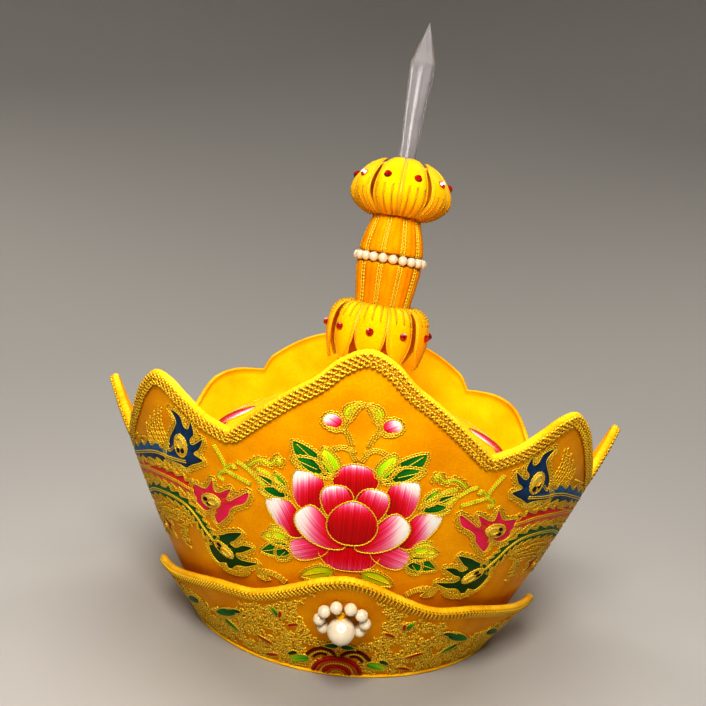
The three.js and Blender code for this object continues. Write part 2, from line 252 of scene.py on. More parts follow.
def top_edge(node, corners, start):
    """The smooth height of a wall's top edge at any angle, read off its solid, and angles to draw it at."""
    angles, _, heights = wall_columns(node, start)
    rise = np.diff(heights) / np.diff(angles)
    middle = np.r_[rise[0], (heights[2:] - heights[:-2]) / (angles[2:] - angles[:-2]), rise[-1]]
    from_front = np.abs(angles - 360 * (angles > 180))
    sharp = np.abs(from_front[:, None] - corners).min(1) < COLUMN_GAP
    leaving = np.where(sharp, np.r_[rise, rise[-1]], middle)
    arriving = np.where(sharp, np.r_[rise[0], rise], middle)

    def height_at(angle):
        k = np.clip(np.searchsorted(angles, angle, side="right") - 1, 0, len(angles) - 2)
        span = angles[k + 1] - angles[k]
        t = np.clip((angle - angles[k]) / span, 0, 1)
        first, last = leaving[k] * span, arriving[k + 1] * span
        gain = heights[k + 1] - heights[k]
        return heights[k] + t * (first + t * (3 * gain - 2 * first - last + t * (first + last - 2 * gain)))

    fine = np.arange(angles[0], angles[-1], WALL_STEP)
    return height_at, np.unique(np.r_[fine, angles[sharp], angles[-1]])


def crown_face(angle, height):
    """Points on the outside of the crown's wall."""
    lean = CROWN["lean"] + CROWN["side_lean"] * np.sin(np.radians(angle)) ** 2
    return oval(angle, CROWN["rim"] + lean * height - CROWN["bow"] * height ** 2, height)


def unit(vectors):
    """Vectors brought to a length of one."""
    return vectors / np.maximum(np.linalg.norm(vectors, axis=-1, keepdims=True), 1e-9)


def lifted(face, across, up, lift=0.0):
    """Points raised off a face of cloth, and the directions straight out of it."""
    step = 0.05
    sideways = face(across + step, up) - face(across - step, up)
    upward = face(across, up + step) - face(across, up - step)
    normal = unit(np.cross(sideways, upward))
    return face(across, up) + np.asarray(lift)[..., None] * normal, normal


def wall_mesh(face, height_at, angles, wall):
    """A padded wall: outer face, rolled top edge, lining and underside, with a zone number for each face."""
    body = (height_at(angles) - ROLL)[:, None]
    rows = np.linspace(0, 1, WALL_ROWS)[None, :]
    swing = np.linspace(0, np.pi, ROLL_ROWS)[None, :]
    up = np.concatenate([body * rows, body + ROLL * np.sin(swing), body * rows[:, ::-1]], 1)
    out = np.concatenate([0 * rows, ROLL * np.cos(swing) - wall / 2, 0 * rows - wall], 1)
    across = angles[:, None]
    points, _ = lifted(face, across, up, out)
    points[..., 2] = np.maximum(points[..., 2], 0)
    loop = up.shape[1]
    last = (len(angles) - 1) * loop
    faces = grid_faces(len(angles), loop, closed=True)
    faces += [list(range(loop)), list(range(last, last + loop))[::-1]]
    zone = np.zeros(loop, int)
    zone[WALL_ROWS - 1:WALL_ROWS + ROLL_ROWS] = 1
    zone[WALL_ROWS + ROLL_ROWS:loop - 1] = 2
    zones = np.tile(zone, len(angles) - 1).tolist() + [0, 0]
    return points, faces, stacked(across, up) * WALL_CLOTH, zones


def add_wall(name, node, face, corners, wall, start=-180):
    """A padded wall in place of its solid; gives its top edge's height and the angles it is drawn at."""
    height_at, angles = top_edge(node, corners, start)
    piece = add_piece(name, "gold_satin", wall_satins, *wall_mesh(face, height_at, angles, wall))
    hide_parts(node)
    return height_at, angles


orange_satin = satin("orange gold satin", "#CE8600", "#DC9600", "#E6A600")
roll_satin = satin("bright yellow satin roll", "#D09410", "#EAB420", "#FACE38", relief=0.15)
wall_satins = [orange_satin, roll_satin, yellow_satin]
front_top, front_angles = add_wall("crown_front_wall", "crown_front", crown_face, FRONT_CORNERS,
                                   CROWN["wall"])
add_wall("crown_back_wall", "crown_back", crown_face, BACK_CORNERS, CROWN["wall"], start=0)


# Peony.
# The flower in the middle of the front petal: silk petals in long and short satin stitch over padding, red
# at the heart and paling outward, outlined with couched gold cord. Places are (angle, height) on the wall.
FLAT = np.array([2.5, 1.1])  # millimetres of cloth to a degree across and to a millimetre of height
PATCH_ROWS = 30
PATCH_COLUMNS = 15
PATCH_SUNK = 0.2  # how far a patch's edge sinks into the cloth
PATCH_ROUND = 0.98  # how nearly its sides come down to the cloth
PATCH_TAPER = 3.2  # how soon it is at full height from its root
CORD_STEP = 0.66
CORD_PITCH = 1.3
CORD_SIDES = 5
CORD_SWELL = 0.1  # how much thicker a cord is between the stitches that hold it
CENTRE_PETALS = [  # ends: how sharp the root and the tip are, where 0.25 is square, 0.5 round and 1 pointed
    dict(root=(0, 88), tip=(0, 71.4), width=32, ends=(0.2, 0.35), tones=(0.26, 0.64), fade=2.5),
    dict(root=(0, 112), tip=(-0.4, 131.8), width=20.5, ends=(0.7, 0.55), layer=0.2,
         tones=(0.1, 0.88), fade=3.2),
    dict(root=(0, 88), tip=(0, 113), width=24.5, ends=(0.45, 0.62), layer=1.2, tones=(0.1, 0.86), fade=3.6),
]
SIDE_PETALS = [  # right side; the left mirrors it
    dict(root=(4.6, 85.8), tip=(12.3, 78.5), width=14.5, ends=(0.35, 0.25), tones=(0.26, 0.7)),
    dict(root=(11, 87), tip=(15, 108), width=15.5, ends=(0.4, 0.25), skew=-0.25,
         tones=(0.16, 1), fade=1.4, slant=-0.5),
    dict(root=(8.6, 104), tip=(8.6, 124.6), width=15.5, ends=(0.25, 0.18), skew=-0.12,
         tones=(0.14, 1), fade=2, slant=-0.4),
    dict(root=(2.6, 100), tip=(3.6, 119.8), width=15.5, ends=(0.5, 0.35), layer=0.5,
         tones=(0.12, 0.9), fade=2.4, slant=-0.2),
    dict(root=(1.2, 85.4), tip=(9.8, 104.8), width=17.5, ends=(0.55, 0.28), bend=-0.16, layer=0.7,
         tones=(0.26, 1), fade=1.7, slant=-0.36),
]


def silk(name, stops, thread=0.7):
    """Satin-stitched floss: glossy parallel threads, and shades that run into each other thread by thread.

    Real floss lies about 0.4 mm wide; it is drawn a little coarser so that it shows.
    """
    material, shader = new_material(name, roughness=0.42, specular_ior_level=0.2)
    cloth = add_node(material, "UVMap").outputs["UV"]
    split = add_node(material, "SeparateXYZ", {"Vector": cloth})
    threads = add_node(material, "TexWave", {
        "Vector": cloth, "Scale": wave_scale(thread), "Distortion": 0.6, "Detail": 1.0,
    }).outputs["Fac"]
    lengths = add_node(material, "TexNoise", {
        "W": split.outputs["X"], "Scale": 0.8 / thread, "Detail": 2.0,
    }, noise_dimensions="1D")
    stray = add_node(material, "Math", {
        0: lengths.outputs["Fac"], 1: 0.5, 2: -0.25,
    }, operation="MULTIPLY_ADD")
    tone = add_node(material, "Math", {0: split.outputs["Y"], 1: stray.outputs["Value"]}, operation="ADD")
    shade = add_node(material, "ValToRGB", {"Fac": tone.outputs["Value"]}, stops=stops)
    # Painted shade in the grooves between threads, and a faint painted highlight on their crests.
    thread_groove_shade = add_node(material, "MapRange", {"Value": threads, "To Min": 0.72, "To Max": 1.06})
    colour = add_node(material, "Mix", {
        0: 1.0, "A": shade.outputs["Color"], "B": thread_groove_shade.outputs["Result"],
    }, data_type="RGBA", blend_type="MULTIPLY")
    return dressed(material, shader, colour.outputs["Result"], threads, 0.5, 0.25)


def gold_thread(name, dark, light):
    """Gold cord of metal foil wound on a core: painted light on the turns, painted shade between, painted
    glints.
    """
    material, shader = new_material(name, metallic=0.2, roughness=0.36, specular_ior_level=0.2)
    cloth = add_node(material, "UVMap").outputs["UV"]
    turns = add_node(material, "TexWave", {
        "Vector": cloth, "Scale": wave_scale(CORD_PITCH), "Distortion": 0.8, "Detail": 1.0,
    }, bands_direction="Y").outputs["Fac"]
    painted_glints = add_node(material, "TexNoise", {"Vector": cloth, "Scale": 1.4, "Detail": 2.0})
    blend = add_node(material, "Mix", {0: 0.5, 2: turns, 3: painted_glints.outputs["Fac"]})
    # Painted light and shade: the ridges of the turns light, the hollows between them dark, and scattered
    # bright glints.
    shade = add_node(material, "ValToRGB", {"Fac": blend.outputs[0]}, stops=[(0.2, dark), (0.6, light)])
    return dressed(material, shader, shade.outputs["Color"], turns, 0.4, 0.2)


def stitch_patch(face, root, tip, width, ends=(0.6, 0.6), bend=0.0, skew=0.0, layer=0.0, puff=0.9,
                 tones=(0, 1), fade=1.0, slant=0.0):
    """A padded patch of satin stitch from a root to a tip, and the path round its border."""
    root, tip = np.array(root) * FLAT, np.array(tip) * FLAT
    axis = tip - root
    ahead = unit(axis)
    side = np.array([-ahead[1], ahead[0]])
    along = 0.5 - 0.5 * np.cos(np.linspace(0.1, np.pi - 0.1, PATCH_ROWS))[:, None]
    across = np.linspace(-1, 1, PATCH_COLUMNS)[None, :]
    fullest = ends[0] / sum(ends)
    half = 0.5 * width * (along / fullest) ** ends[0] * ((1 - along) / (1 - fullest)) ** ends[1]
    curve = bend * width * 4 * along * (1 - along)
    beside = across * half
    sideways = (beside + curve)[..., None] * side + (skew * beside)[..., None] * ahead
    place = (root + along[..., None] * axis + sideways) / FLAT
    crest = np.sqrt(1 - PATCH_ROUND * across ** 2) * np.minimum(PATCH_TAPER * half / width, 1)
    points, _ = lifted(face, place[..., 0], place[..., 1], layer - PATCH_SUNK + puff * crest)
    tone = tones[0] + (tones[1] - tones[0]) * np.clip(along ** fade + slant * across, 0, 1)
    border = np.concatenate([place[:, 0], place[::-1, -1], place[:1, 0]])
    return (points, grid_faces(PATCH_ROWS, PATCH_COLUMNS), stacked(beside, tone)), border


def mirrored(shape):
    """The same patch on the left half of the crown."""
    ends = {key: (-shape[key][0], shape[key][1]) for key in ("root", "tip")}
    return {**shape, **ends, **{key: -shape.get(key, 0.0) for key in ("bend", "skew", "slant")}}


def both_sides(shapes):
    """Each patch and its image on the left, one after the other."""
    return [image for shape in shapes for image in (shape, mirrored(shape))]


def run_along(points):
    """The distance along a line, from its start to each of its points."""
    return np.r_[0, np.cumsum(np.linalg.norm(np.diff(points, axis=0), axis=1))]


def tube_faces(rows, columns):
    """Faces of a tube of points, closed at both ends."""
    last = (rows - 1) * columns
    ends = [list(range(columns))[::-1], list(range(last, last + columns))]
    return grid_faces(rows, columns, closed=True) + ends


def cord_tube(points, normals, radius):
    """A tube along evenly spaced points, its thickness rising and falling with the stitches that hold it."""
    side = np.cross(normals, unit(np.gradient(points, axis=0)))
    run = run_along(points)
    thick = radius * (1 + CORD_SWELL * np.cos(2 * np.pi * run / CORD_PITCH))[:, None, None]
    ring = np.linspace(0, 2 * np.pi, CORD_SIDES, endpoint=False)[None, :, None]
    tube = points[:, None] + thick * (np.cos(ring) * side[:, None] + np.sin(ring) * normals[:, None])
    return tube, tube_faces(len(points), CORD_SIDES), stacked(ring[..., 0], run[:, None])


def resampled(path):
    """A path of flat places at even steps, the way ahead at each, and the distance run."""
    run = run_along(path)
    even = np.linspace(0, run[-1], max(int(run[-1] / CORD_STEP), 4))
    line = np.stack([np.interp(even, run, path[:, k]) for k in (0, 1)], -1)
    return line, unit(np.gradient(line, axis=0)), even


def couched(face, path, radius=0.45, lift=0.3, aside=0.0, wave=0.0, period=2.2, scale=FLAT):
    """A cord sewn down along a path of places on a face, set off to its right, and waved if wanted."""
    line, ahead, run = resampled(np.asarray(path, float) * scale)
    right = ahead[:, ::-1] * (1, -1)
    line = line + (aside + wave * np.sin(2 * np.pi * run / period))[:, None] * right
    place = resampled(line)[0] / scale
    points, normals = lifted(face, place[:, 0], place[:, 1], lift)
    return cord_tube(points, normals, radius)


def joined(parts):
    """Points, faces and places of several meshes as one."""
    points = [np.reshape(part[0], (-1, 3)) for part in parts]
    offsets = np.cumsum([0] + [len(block) for block in points[:-1]])
    faces = [[k + offset for k in face] for part, offset in zip(parts, offsets) for face in part[1]]
    return np.concatenate(points), faces, np.concatenate([np.reshape(part[2], (-1, 2)) for part in parts])


def add_silk(name, floss, parts):
    """Silk stitches sewn on the satin, as one piece."""
    return add_piece(name, "gold_satin", [floss], *joined(parts))


def add_gold(name, thread, cords):
    """Gold cords sewn down, as one piece."""
    return add_piece(name, "gold_braid", [thread], *joined(cords))


petal_silk = silk("peony silk", [
    (0.0, "#9A0408"), (1.0, "#FFFCF6"), (0.22, "#C80A16"), (0.38, "#DC1C34"), (0.52, "#EA4C7C"),
    (0.66, "#F596B0"), (0.8, "#FFE2E2"),
])
couched_gold = gold_thread("couched gold cord", "#A47C10", "#F0CC3C")
patches, cords = [], []
for petal in CENTRE_PETALS + both_sides(SIDE_PETALS):
    patch, border = stitch_patch(crown_face, **petal)
    patches.append(patch)
    cords.append(couched(crown_face, border, radius=0.36, lift=petal.get("layer", 0) + 0.3, wave=0.22))
add_silk("peony_petals", petal_silk, patches)
add_gold("peony_gold_outline", couched_gold, cords)


# Cap flowers.
# A half-open flower sewn on each side of the cap, where its upper petals show over the dips in the wall:
# the same silk, outline and padding as the peony's.
CAP_PETALS = [  # right side; the left mirrors it
    dict(root=(95, 108), tip=(74, 121), width=16, tones=(-0.5, 0.95)),
    dict(root=(99, 106), tip=(92, 121), width=16, tones=(0.3, 0.95)),
    dict(root=(99, 106), tip=(112, 120), width=16, tones=(0.3, 1)),
    dict(root=(96, 106), tip=(70, 111), width=12, tones=(0.1, 0.5)),
    dict(root=(99, 105), tip=(126, 110), width=12, tones=(0.1, 0.5)),
]
sewn = [stitch_patch(cap_face, **petal, ends=(0.6, 0.5)) for petal in both_sides(CAP_PETALS)]
patches, borders = zip(*sewn)
add_silk("cap_flowers", petal_silk, patches)
add_gold("cap_flower_gold_outline", couched_gold, [couched(cap_face, border) for border in borders])


# Leaves and buds.
# Green silk leaves round the peony, and two small buds above it beside an arch of tendrils, in the petals'
# stitch with gold outlines. Vines with a lime green core lead from them to the side petals' plumes.
LEAVES = [  # right side; the left mirrors it
    dict(root=(4.4, 123.5), tip=(11.4, 139.4), width=10.5, ends=(0.7, 0.8), bend=-0.12, tones=(0.0, 0.4)),
    dict(root=(6, 125.6), tip=(11.6, 130.6), width=8.5, ends=(0.5, 0.9), layer=0.15, tones=(0.1, 0.45)),
    dict(root=(4.1, 125), tip=(6, 138), width=8.0, ends=(0.5, 0.8), tones=(0.68, 0.95)),
    dict(root=(12.4, 109.6), tip=(18.8, 118.6), width=8.5, ends=(0.7, 0.9), bend=-0.12, tones=(0.0, 0.36)),
    dict(root=(13, 109.6), tip=(18.2, 110.6), width=7.5, ends=(0.5, 0.8), layer=0.15, tones=(0.1, 0.4)),
    dict(root=(13.4, 112.6), tip=(14.8, 121), width=5.5, ends=(0.5, 0.8), tones=(0.4, 0.75)),
    dict(root=(12.8, 84.6), tip=(18.6, 84.6), width=9.0, ends=(0.4, 0.8), tones=(0.78, 1.0)),
    dict(root=(13.4, 86), tip=(16.6, 90.6), width=8.0, ends=(0.4, 0.8), tones=(0.82, 1.0)),
    dict(root=(12.6, 80.5), tip=(19.6, 74.4), width=9.5, ends=(0.4, 0.9), tones=(0.0, 0.42)),
    dict(root=(13.2, 79), tip=(15.6, 72), width=8.5, ends=(0.4, 0.8), layer=0.15, tones=(0.05, 0.42)),
    dict(root=(3.2, 70.8), tip=(10.4, 64.5), width=9.0, ends=(0.5, 0.8), tones=(0.8, 1.0)),
    dict(root=(2.4, 153), tip=(0.3, 161), width=4.2, ends=(0.5, 0.8), bend=-0.5, tones=(0.7, 1.0)),
]
BUD = dict(root=(3.5, 149.4), tip=(6.1, 153.6), width=8.0, ends=(0.45, 0.4), tones=(0.26, 1.0))
TENDRILS = [
    [(0.1, 161.4), (1.6, 159), (2.2, 154), (2.8, 150.6), (2.7, 147.6), (2.0, 145), (1.4, 140.4)],
    [(2.9, 148.6), (4.0, 147.2), (5.4, 147.8)],
    [(0.8, 136.6), (2.4, 139.2), (4.2, 138.2), (4.8, 136.4)],
    [(1.4, 139), (1.0, 135.6), (0.3, 133)],
]
CURLED_VINE = [
    (20.2, 121.8), (18.8, 125), (17.2, 126.6), (15.8, 125.4), (14.8, 127), (14.4, 129.2), (13.6, 127.4),
    (14.4, 125.6),
]
VINES = [
    [(22.8, 114.6), (25.0, 116.8), (25.6, 121.6), (27.2, 129)],
    [(25.0, 116.6), (26.4, 115.2), (27.2, 112.4), (26.0, 111)],
    [(25.0, 118), (23.6, 120.4), (23.0, 118.4)],
    [(16.8, 112.8), (19.2, 118), (21.0, 121.4), (22.6, 122.8)],
    [(18.6, 121.6), (16.8, 120.6), (15.4, 118.4), (13.8, 115)],
    [(20.0, 112.4), (22.8, 114.6)],
]
CLOUDS = [  # gold scrolls low down, between the leaves and the green plume
    [(14, 58), (16.4, 61.5), (19.4, 62), (21, 59.6), (19.6, 57.6), (18.2, 58.8)],
    [(23.4, 60), (25, 57), (28, 55), (32, 55.4)],
]
VEINED_LEAF = 8.5  # leaves as wide as this have a gold vein
VINE = {"core": 0.55, "edge": 0.34, "crinkle": 0.16}
VINE_ASIDES = {"plain": (0.95, -0.95), "curled": (0.95, 2.2, -0.95, -2.2)}


def drawn(path, side):
    """A smooth curve through a path's points on the right, or its image on the left."""
    return smooth(path, 12 * len(path)) * (side, 1)


def cord_rows(path, asides, **how):
    """Cords that run side by side along a path on the crown's wall."""
    return [couched(crown_face, path, aside=aside, **how) for aside in asides]


def outlined(border):
    """A patch's gold edge: a plain cord on its border and a crinkled one round that."""
    return [couched(crown_face, border), couched(crown_face, border, radius=0.36, aside=1.05, wave=0.35)]


leaf_silk = silk("leaf silk", [
    (0.0, "#04380C"), (1.0, "#F2FA20"), (0.3, "#0A7A24"), (0.55, "#3FA014"), (0.78, "#B4E00C"),
])
patches, buds, cords, cores = [], [], [], []
for leaf in both_sides(LEAVES):
    patch, border = stitch_patch(crown_face, **leaf, puff=0.6)
    patches.append(patch)
    cords += outlined(border)
    if leaf["width"] >= VEINED_LEAF:
        vein = np.linspace(leaf["root"], leaf["tip"], 12)[2:-1]
        cords.append(couched(crown_face, vein, radius=0.25, lift=0.5))
for bud in both_sides([BUD]):
    patch, border = stitch_patch(crown_face, **bud)
    buds.append(patch)
    cords += outlined(border)
for side in (1, -1):
    for path in TENDRILS:
        cords += cord_rows(drawn(path, side), (-1, 0, 1), radius=0.4, wave=0.35)
    for path in [CURLED_VINE] + VINES:
        curve = drawn(path, side)
        cores.append(couched(crown_face, curve, radius=VINE["core"], lift=0.1))
        for aside in VINE_ASIDES["curled" if path is CURLED_VINE else "plain"]:
            cords += cord_rows(curve, [aside], radius=VINE["edge"], wave=VINE["crinkle"] * aside ** 2)
    for path in CLOUDS:
        cords += cord_rows(drawn(path, side), (-1.6, -0.5, 0.5, 1.6), radius=0.4, wave=0.45)
lime_silk = silk("lime vine silk", [(0.0, "#8CC010"), (1.0, "#D8EC18")])
add_silk("peony_leaves", leaf_silk, patches)
add_silk("peony_buds", petal_silk, buds)
add_silk("vine_cores", lime_silk, cores)
add_gold("leaf_gold_outline", couched_gold, cords)


# Phoenix plumes.
# Long tail feathers that sweep round from both sides: serrated silk vanes in blue, red and green, a flame of
# barbs at the tip and a gold eye in it. Gold cord is couched round edges, along spines and in the gaps.
PLUMES = [  # right side; the left mirrors it. tones: under the spine, at it and over it
    dict(
        colour="blue", width=15, barbs=11, tones=(0.08, 0.4, 0.8), flame_tones=(0.55, 0.1),
        spine=[(88, 86), (78, 90), (66, 99), (54, 108), (46, 113.4), (40, 114), (35.4, 115)],
        eye=(35.9, 123.4), eye_size=(14, 8.5), eye_turn=285,
        flame=[(41, 118), (39, 126), (37, 132), (36, 136), (37, 142), (34.5, 140), (34, 135), (33, 134),
               (32, 139), (31.6, 132), (33, 128), (32.4, 126), (29.6, 130.6), (31, 124), (32.6, 121),
               (30.4, 118.4), (34, 113.6), (36, 111), (38, 112), (42.5, 112)],
    ),
    dict(
        colour="red", width=14.5, barbs=13, tones=(0.66, 0.5, 0.14), flame_tones=(0.62, 0.96),
        spine=[(88, 74), (78, 82), (66, 91), (56, 97.6), (48, 100.4), (41, 101), (35, 99)],
        eye=(30.4, 96.8), eye_size=(13, 8.5), eye_turn=345,
        flame=[(35, 103), (31.4, 103), (29, 109.6), (29, 104), (28, 103), (24.6, 107), (26, 101),
               (25.4, 100), (23.6, 103), (20.6, 107.6), (21.6, 101), (24.4, 97), (25.8, 94), (26.6, 90),
               (30, 83.4), (30.4, 89), (29.4, 92.6), (31, 91), (33, 89), (35.4, 92)],
    ),
    dict(
        colour="green", width=13, barbs=15, tones=(0.1, 0.6, 0.15), flame_tones=(0.4, 0.1),
        spine=[(88, 58), (76, 68), (64, 77), (54, 86), (46, 89.4), (40, 88.6), (36.8, 84), (34.8, 77.5),
               (32.6, 71.5)],
        eye=(29.8, 68.6), eye_size=(14, 8), eye_turn=28,
        flame=[(32.4, 75), (29.5, 77.6), (27, 80.6), (23.6, 82.6), (25.6, 77), (27.4, 74), (26, 72.4),
               (24, 75), (21.4, 75), (24.4, 70), (26.4, 68), (25.6, 65.6), (23.6, 65.6), (20.4, 66),
               (24, 61.4), (27, 60), (30, 54.4), (30.4, 59), (33, 57.6), (34.8, 62), (35, 69)],
    ),
    dict(
        colour="red", width=7.0, barbs=8, tones=(0.6, 0.3, 0.1), flame_tones=(0.05, 0.3),
        spine=[(88, 46), (78, 51), (68, 56), (60, 61), (56.5, 63)],
        eye=(55, 64), eye_size=(5, 4), eye_turn=30,
        flame=[(57.4, 66), (55.6, 68), (54, 73), (53, 68.4), (50.2, 67.4), (52, 64), (51.2, 59),
               (54.4, 60.6), (57.4, 60.6)],
    ),
]
PLUME_STOPS = {
    "blue": [(0.0, "#0A2440"), (1.0, "#3E8CBC"), (0.4, "#124A78"), (0.75, "#1E70A8")],
    "red": [(0.0, "#9A0A08"), (1.0, "#F4307A"), (0.3, "#D02018"), (0.5, "#E24C20"), (0.66, "#EE8244"),
            (0.78, "#D62438")],
    "green": [(0.0, "#0A3410"), (1.0, "#C8D868"), (0.4, "#146422"), (0.7, "#62A038")],
}
EYE_STOPS = [(0.0, "#1C0A06"), (1.0, "#F4E080"), (0.3, "#4A1E08"), (0.36, "#B8860C"), (0.7, "#DCB428")]
BARB = {"rows": 12, "notch": 0.45, "sharp": 1.3}  # the notch between two barbs is a share of their reach
PLUME_PUFF = 0.75
PLUME_ROUND = 0.97
FLAME_ROWS = 7
FLAME_SUNK = 0.1
EYE_SPOTS = ((0.3, 0.34), (0.46, -0.3))  # in shares of the eye's half length and half width
SPOT = {"half": 0.26, "width": 0.3}
EYE_RING = {"back": 0.3, "size": 0.48}
FRINGE = [  # rows of gold beside a spine: the plume, how far over it or under it, and from where to where
    (0, 9.0, 0.0, 0.62), (0, 11.0, 0.0, 0.56), (0, 13.0, 0.1, 0.5), (0, -8.4, 0.0, 0.86),
    (1, -8.2, 0.0, 0.7), (2, -8.6, 0.0, 0.8), (2, -10.8, 0.0, 0.84), (2, -13, 0.0, 0.8),
    (2, -15.4, 0.1, 0.78), (2, -17.8, 0.1, 0.72), (2, -20.2, 0.47, 0.84), (2, -22.6, 0.5, 0.8),
    (2, -25, 0.47, 0.86), (2, -28, 0.48, 0.8), (2, -31, 0.46, 0.84), (2, -34, 0.48, 0.78),
    (3, -4.5, 0.0, 0.9), (3, -7, 0.2, 0.96),
]
FRINGE_POINTS = 100  # points along a spine
FRINGE_REACH = (7, 15)  # how many of them one length of cord covers
FRINGE_SHORTEST = 6
FRINGE_STRAY = 0.6
FRINGE_WAVE = (0.5, 1.0)
FRINGE_PERIOD = (2.2, 3.6)
QUILLS = [  # gold barbs over the blue plume, from foot to tip
    [(46, 118), (47, 123), (46.4, 129)], [(44, 119), (45, 127), (44, 133.6)],
    [(42, 120), (43, 129), (42, 138)], [(40.2, 121), (41.2, 132), (40.2, 141.6)],
]


def plume_vanes(spine, width, barbs, tones):
    """A feather's two serrated vanes as one patch, and the paths of its two edges."""
    count = BARB["rows"] * barbs
    line = smooth(np.array(spine) * FLAT, count)
    side = unit(np.gradient(line, axis=0))[:, ::-1] * (1, -1)
    along = np.linspace(0, 1, count)
    tooth = (along * barbs) % 1
    reach = BARB["notch"] + (1 - BARB["notch"]) * tooth ** BARB["sharp"]
    half = (0.5 * width * np.minimum(0.5 + along, 1) * reach)[:, None]
    across = np.linspace(-1, 1, PATCH_COLUMNS)[None, :]
    place = (line[:, None] + (across * half)[..., None] * side[:, None]) / FLAT
    crest = PLUME_PUFF * np.sqrt(1 - PLUME_ROUND * across ** 2) - PATCH_SUNK
    points, _ = lifted(crown_face, place[..., 0], place[..., 1], crest)
    slanted = run_along(line)[:, None] + 0.9 * np.abs(across) * half
    places = stacked(slanted, np.interp(across, (-1, 0, 1), tones))
    return (points, grid_faces(count, PATCH_COLUMNS), places), place[:, 0], place[:, -1]


def flame_patch(centre, outline, tones):
    """The flame round a feather's eye: silk stitched outward to hooked points, and the path of its edge."""
    edge = smooth([*outline, outline[0]], 6 * len(outline))
    share = np.linspace(0.3, 1, FLAME_ROWS)[:, None]
    place = centre + share[..., None] * (edge - centre)
    crest = PLUME_PUFF * np.sqrt(1 - PLUME_ROUND * share ** 2) - FLAME_SUNK
    points, _ = lifted(crown_face, place[..., 0], place[..., 1], crest)
    places = stacked(run_along(edge * FLAT), tones[0] + (tones[1] - tones[0]) * share)
    return (points, grid_faces(FLAME_ROWS, len(edge)), places), edge


def eye_patches(centre, size, turn):
    """A feather's eye: a padded oval of gold silk with two dark spots, and the paths of its gold rings."""
    turn = math.radians(turn)
    ahead = 0.5 * size[0] * np.array([math.cos(turn), math.sin(turn)]) / FLAT
    beside = 0.5 * size[1] * np.array([-math.sin(turn), math.cos(turn)]) / FLAT
    oval_patch, border = stitch_patch(crown_face, centre - ahead, centre + ahead, size[1], ends=(0.5, 0.5),
                                      layer=0.5, tones=(1.0, 0.6))
    patches = [oval_patch]
    for forward, sideways in EYE_SPOTS:
        spot = centre + forward * ahead + sideways * beside
        reach = SPOT["half"] * ahead
        spot_patch, _ = stitch_patch(crown_face, spot - reach, spot + reach, SPOT["width"] * size[1],
                                     ends=(0.5, 0.5), layer=1.2, puff=0.5, tones=(0.02, 0.1))
        patches.append(spot_patch)
    swing = np.linspace(0, 2 * np.pi, 24)[:, None]
    circle = np.cos(swing) * ahead + np.sin(swing) * beside
    return patches, [border, centre - EYE_RING["back"] * ahead + EYE_RING["size"] * circle]


rng = random.Random(3)
plume_parts = {colour: [] for colour in PLUME_STOPS}
eyes, cords, fringe = [], [], []
for side in (1, -1):
    turn = np.array([side, 1])
    for plume in PLUMES:
        spine = np.array(plume["spine"]) * turn
        vanes, *edges = plume_vanes(spine, plume["width"], plume["barbs"], plume["tones"][::side])
        for edge, aside in zip(edges, (-1.0, 1.0)):
            cords.append(couched(crown_face, edge, radius=0.38))
            cords.append(couched(crown_face, edge, radius=0.32, aside=aside, wave=0.35))
        cords += cord_rows(smooth(spine, 60), (-0.6, 0.6), radius=0.36, lift=0.6)
        centre = np.array(plume["eye"]) * turn
        outline = np.array(plume["flame"])[::side] * turn
        flame, border = flame_patch(centre, outline, plume["flame_tones"])
        plume_parts[plume["colour"]] += [vanes, flame]
        cords += outlined(border)
        cords.append(couched(crown_face, border, radius=0.34, aside=2.3, wave=0.6, period=3.1))
        eye_turn = 90 + side * (plume["eye_turn"] - 90)
        oval_parts, borders = eye_patches(centre, plume["eye_size"], eye_turn)
        eyes += oval_parts
        cords += [couched(crown_face, path, lift=lift, wave=0.3) for path, lift in zip(borders, (0.7, 1.4))]
    for index, aside, start, end in FRINGE:
        line = smooth(PLUMES[index]["spine"], FRINGE_POINTS) * turn
        row = line[int(FRINGE_POINTS * start):int(FRINGE_POINTS * end)]
        first = 0
        while first < len(row) - FRINGE_SHORTEST:
            last = first + rng.randint(*FRINGE_REACH)
            fringe.append(couched(crown_face, row[first:last], radius=0.4,
                                  aside=side * (aside + rng.uniform(-FRINGE_STRAY, FRINGE_STRAY)),
                                  wave=rng.uniform(*FRINGE_WAVE), period=rng.uniform(*FRINGE_PERIOD)))
            first = last + rng.randint(-1, 2)
    for quill in QUILLS:
        fringe += cord_rows(smooth(quill, 30) * turn, (-1.1, 1.1), radius=0.42, wave=0.5, period=2.8)
for colour, parts in plume_parts.items():
    add_silk(f"{colour}_plumes", silk(f"{colour} plume silk", PLUME_STOPS[colour]), parts)
add_silk("plume_eyes", silk("plume eye silk", EYE_STOPS), eyes)
add_gold("plume_gold_outline", couched_gold, cords)
add_gold("plume_gold_fringe", couched_gold, fringe)


# Edge braid of the crown.
# A lacy gold braid sewn on the outside just under the satin roll: two pairs of wound cords, each crossing
# over and under its twin so that they leave a row of small eyelets, over a darker sheet that paints the
# shade in the eyelets.
BRAID_PAIRS = (2.5, 5.7)  # how far under the edge each pair's middle lies
BRAID_CORD = 0.56
BRAID_SWING = 1.3
BRAID_PERIOD = 6.0
BRAID_LIFT = 0.8
BRAID_STEP = 0.6
SHADE_GROUND_DROPS = np.linspace(1.0, 7.2, 5)
SHADE_GROUND_LIFTS = 0.65 * np.array([-1, 1, 1, 1, -1])


def edge_line(face, height_at, angles):
    """Evenly spaced points along a wall's top edge on its outer face, with the ways out and down there."""
    points, _ = lifted(face, angles, height_at(angles))
    run = run_along(points)
    even = np.interp(np.arange(0, run[-1], BRAID_STEP), run, angles)
    edge, out = lifted(face, even, height_at(even))
    down = np.cross(unit(np.gradient(edge, axis=0)), out)
    return edge, out, -down * np.sign(down[:, 2:3])


